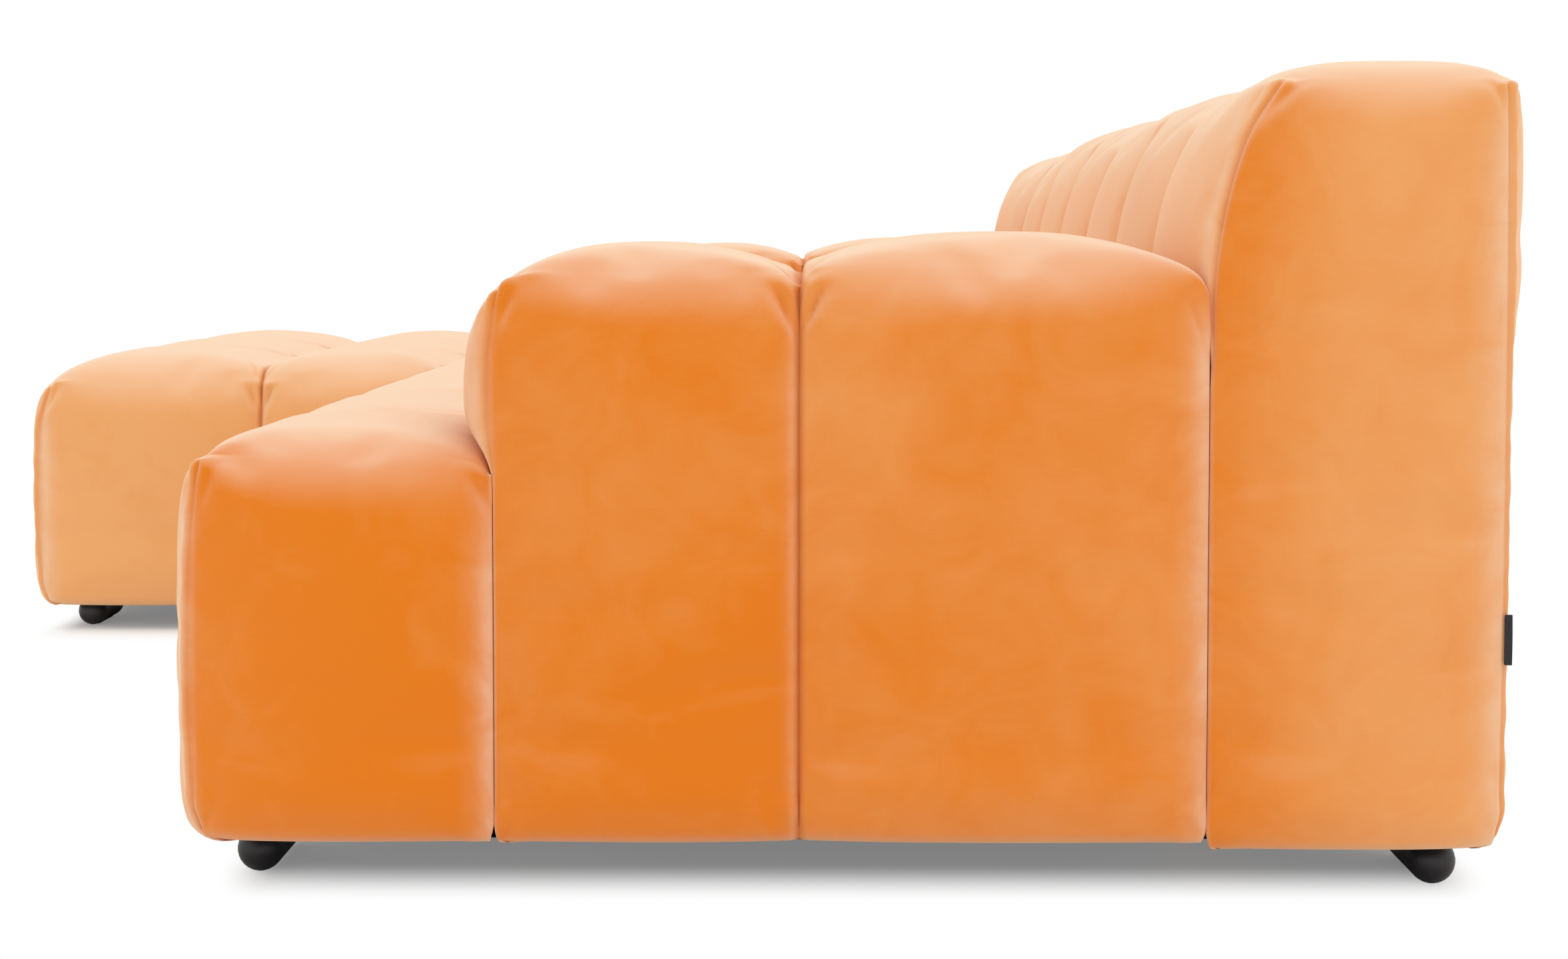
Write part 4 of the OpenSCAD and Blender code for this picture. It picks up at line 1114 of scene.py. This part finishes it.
def make_tag():
    """A bare folded ribbon, sewn into the rear corner seam."""
    low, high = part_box("blank_tag")
    high.y -= 0.004
    reach, wide = high.y - low.y, high.x - low.x
    bend_r = 0.32 * wide
    ends = [(-reach / 2, -0.0002), (-reach * 0.2, -wide * 0.22)]
    bend = [(reach / 2 - bend_r + math.cos(a) * bend_r, math.sin(a) * bend_r)
            for a in np.linspace(-math.pi / 2, math.pi / 2, 7)]
    profile = ends + bend + [(y, -x) for y, x in reversed(ends)]
    mid = (low + high) / 2
    co, faces = [], []
    for t in np.linspace(0, 1, 25):
        curl = 0.0012 * math.sin(2.6 * t + 0.4)
        z = low.z + (high.z - low.z) * t
        co += [(mid.x + v + curl * (0.5 + u / reach), mid.y + u, z) for u, v in profile]
    n = len(profile)
    for start in range(0, len(co) - n, n):
        faces += [(k, k + 1, k + 1 + n, k + n) for k in range(start, start + n - 1)]
    tag = new_object("side_tag", np.array(co), faces)
    tag.modifiers.new("Ply", "SOLIDIFY").thickness = 0.0005
    soft = tag.modifiers.new("Soft", "SUBSURF")
    soft.levels = soft.render_levels = 1
    tag.data.materials.append(tag_cloth())
    smooth(tag.data)
    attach(tag, ROOT)
    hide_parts("blank_tag")


def dress_covers(material):
    """Makes the covers: pinched grids, inflated as cloth, then sewn, rounded and folded."""
    pads = []
    for cover in all_covers():
        cover.mesh()
        piece = new_object(cover.name + "_velvet", cover.co, cover.quads)
        slack = DEFLATE * cover.pad * (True)
        slack = read(piece.data.vertices, "normal") * slack[:, None]
        write_coordinates(piece.data, cover.co + cover.pull - slack)
        for name, values in cover.tone_shade_and_sheen.items():
            piece.data.attributes.new(name, "FLOAT", "POINT").data.foreach_set("value", values)
        pads.append((piece, cover))
    inflate(pads)
    for piece, cover in pads:
        sew(piece, cover.seam_edges())
        paths = fold_paths(coordinates(piece.data), cover.folds())
        round_off(piece)
        press_folds(piece, paths)
        piece.data.materials.append(material)
        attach(piece, ROOT)
        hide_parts(cover.name)


def camera():
    """The photograph's viewing angle: place, turn and lens, as solved from its perspective."""
    data = bpy.data.cameras.new("camera")
    data.lens = 60.1
    data.sensor_width = 36
    data.shift_y = -0.063
    cam = link("camera", data)
    cam.location = (3.856, REAR_Y - 0.657, 0.625)
    cam.rotation_euler = (math.radians(87), 0, math.radians(90.4957))
    bpy.context.scene.camera = cam


def studio():
    """A white world, a weak soft sun above and a white floor."""
    scene = bpy.context.scene
    scene.view_settings.view_transform = "Standard"
    scene.world = bpy.data.worlds.new("studio")
    scene.world.use_nodes = True
    sky = scene.world.node_tree.nodes["Background"]
    sky.inputs["Color"].default_value = (1, 1, 1, 1)
    sky.inputs["Strength"].default_value = 1.0
    sun = bpy.data.lights.new("top", "SUN")
    sun.energy = 0.45
    sun.angle = math.radians(60)
    lamp = link("top", sun)
    lamp.location = (0.4, 0.8, 3.0)
    lamp.rotation_euler = (-lamp.location).to_track_quat("-Z", "Y").to_euler()

    far = 14.0
    corners = far * np.array([[-1, -1, 0], [1, -1, 0], [1, 1, 0], [-1, 1, 0]])
    floor = new_object("floor", corners, [(0, 1, 2, 3)])
    floor.data.materials.append(floor_paint())


def off_plan(m, x0, x1, y0, y1):
    """Distance on the floor from a rectangle, which counts more in front of it and behind it."""
    mid = ((x0 + x1) / 2, (y0 + y1) / 2, 0)
    half = ((x1 - x0) / 2, (y1 - y0) / 2, 0)
    gap = m.vector("ABSOLUTE", m.vector("SUBTRACT", m.place.outputs["Object"], mid))
    gap = m.vector("MAXIMUM", m.vector("SUBTRACT", gap, half), (0, 0, 0))
    return m.vector("LENGTH", m.vector("MULTIPLY", gap, (1, 2.5, 1)))


def floor_paint():
    """Matt white that keeps its shadow by the sofa, and runs into the white background beyond."""
    m = Nodes("floor")
    # The floor's slight blue is painted light: it offsets the orange light that the sofa throws on
    # it
    m.set(m.bsdf, Base_Color=(0.90, 0.94, 0.95, 1), Roughness=1.0, Specular_IOR_Level=0.0)
    end_in, front_in, rear_in, chaise_in = 0.16, 0.055, 0.045, 0.02
    off = [off_plan(m, -HALF_W + end_in, x1, y0 + front_in, REAR_Y - rear_in)
           for x1, y0 in ((HALF_W - end_in, SEAT_Y), (SPLIT_X - chaise_in, CHAISE_Y))]
    fade = m.map(m.math("MINIMUM", *off), 0.0, 0.165, 0.2, 1.0, "SMOOTHSTEP")
    seen = m.add("ShaderNodeLightPath").outputs["Is Camera Ray"]
    glow = m.add("ShaderNodeEmission", Color=(1, 1, 1, 1), Strength=1.0)
    mix = m.add("ShaderNodeMixShader", m.math("MULTIPLY", seen, fade), m.bsdf.outputs[0],
                glow.outputs[0])
    m.set(m.tree.nodes["Material Output"], Surface=mix.outputs[0])
    return m.mat


dress_frame()
dress_covers(velvet())
make_tag()
camera()
studio()
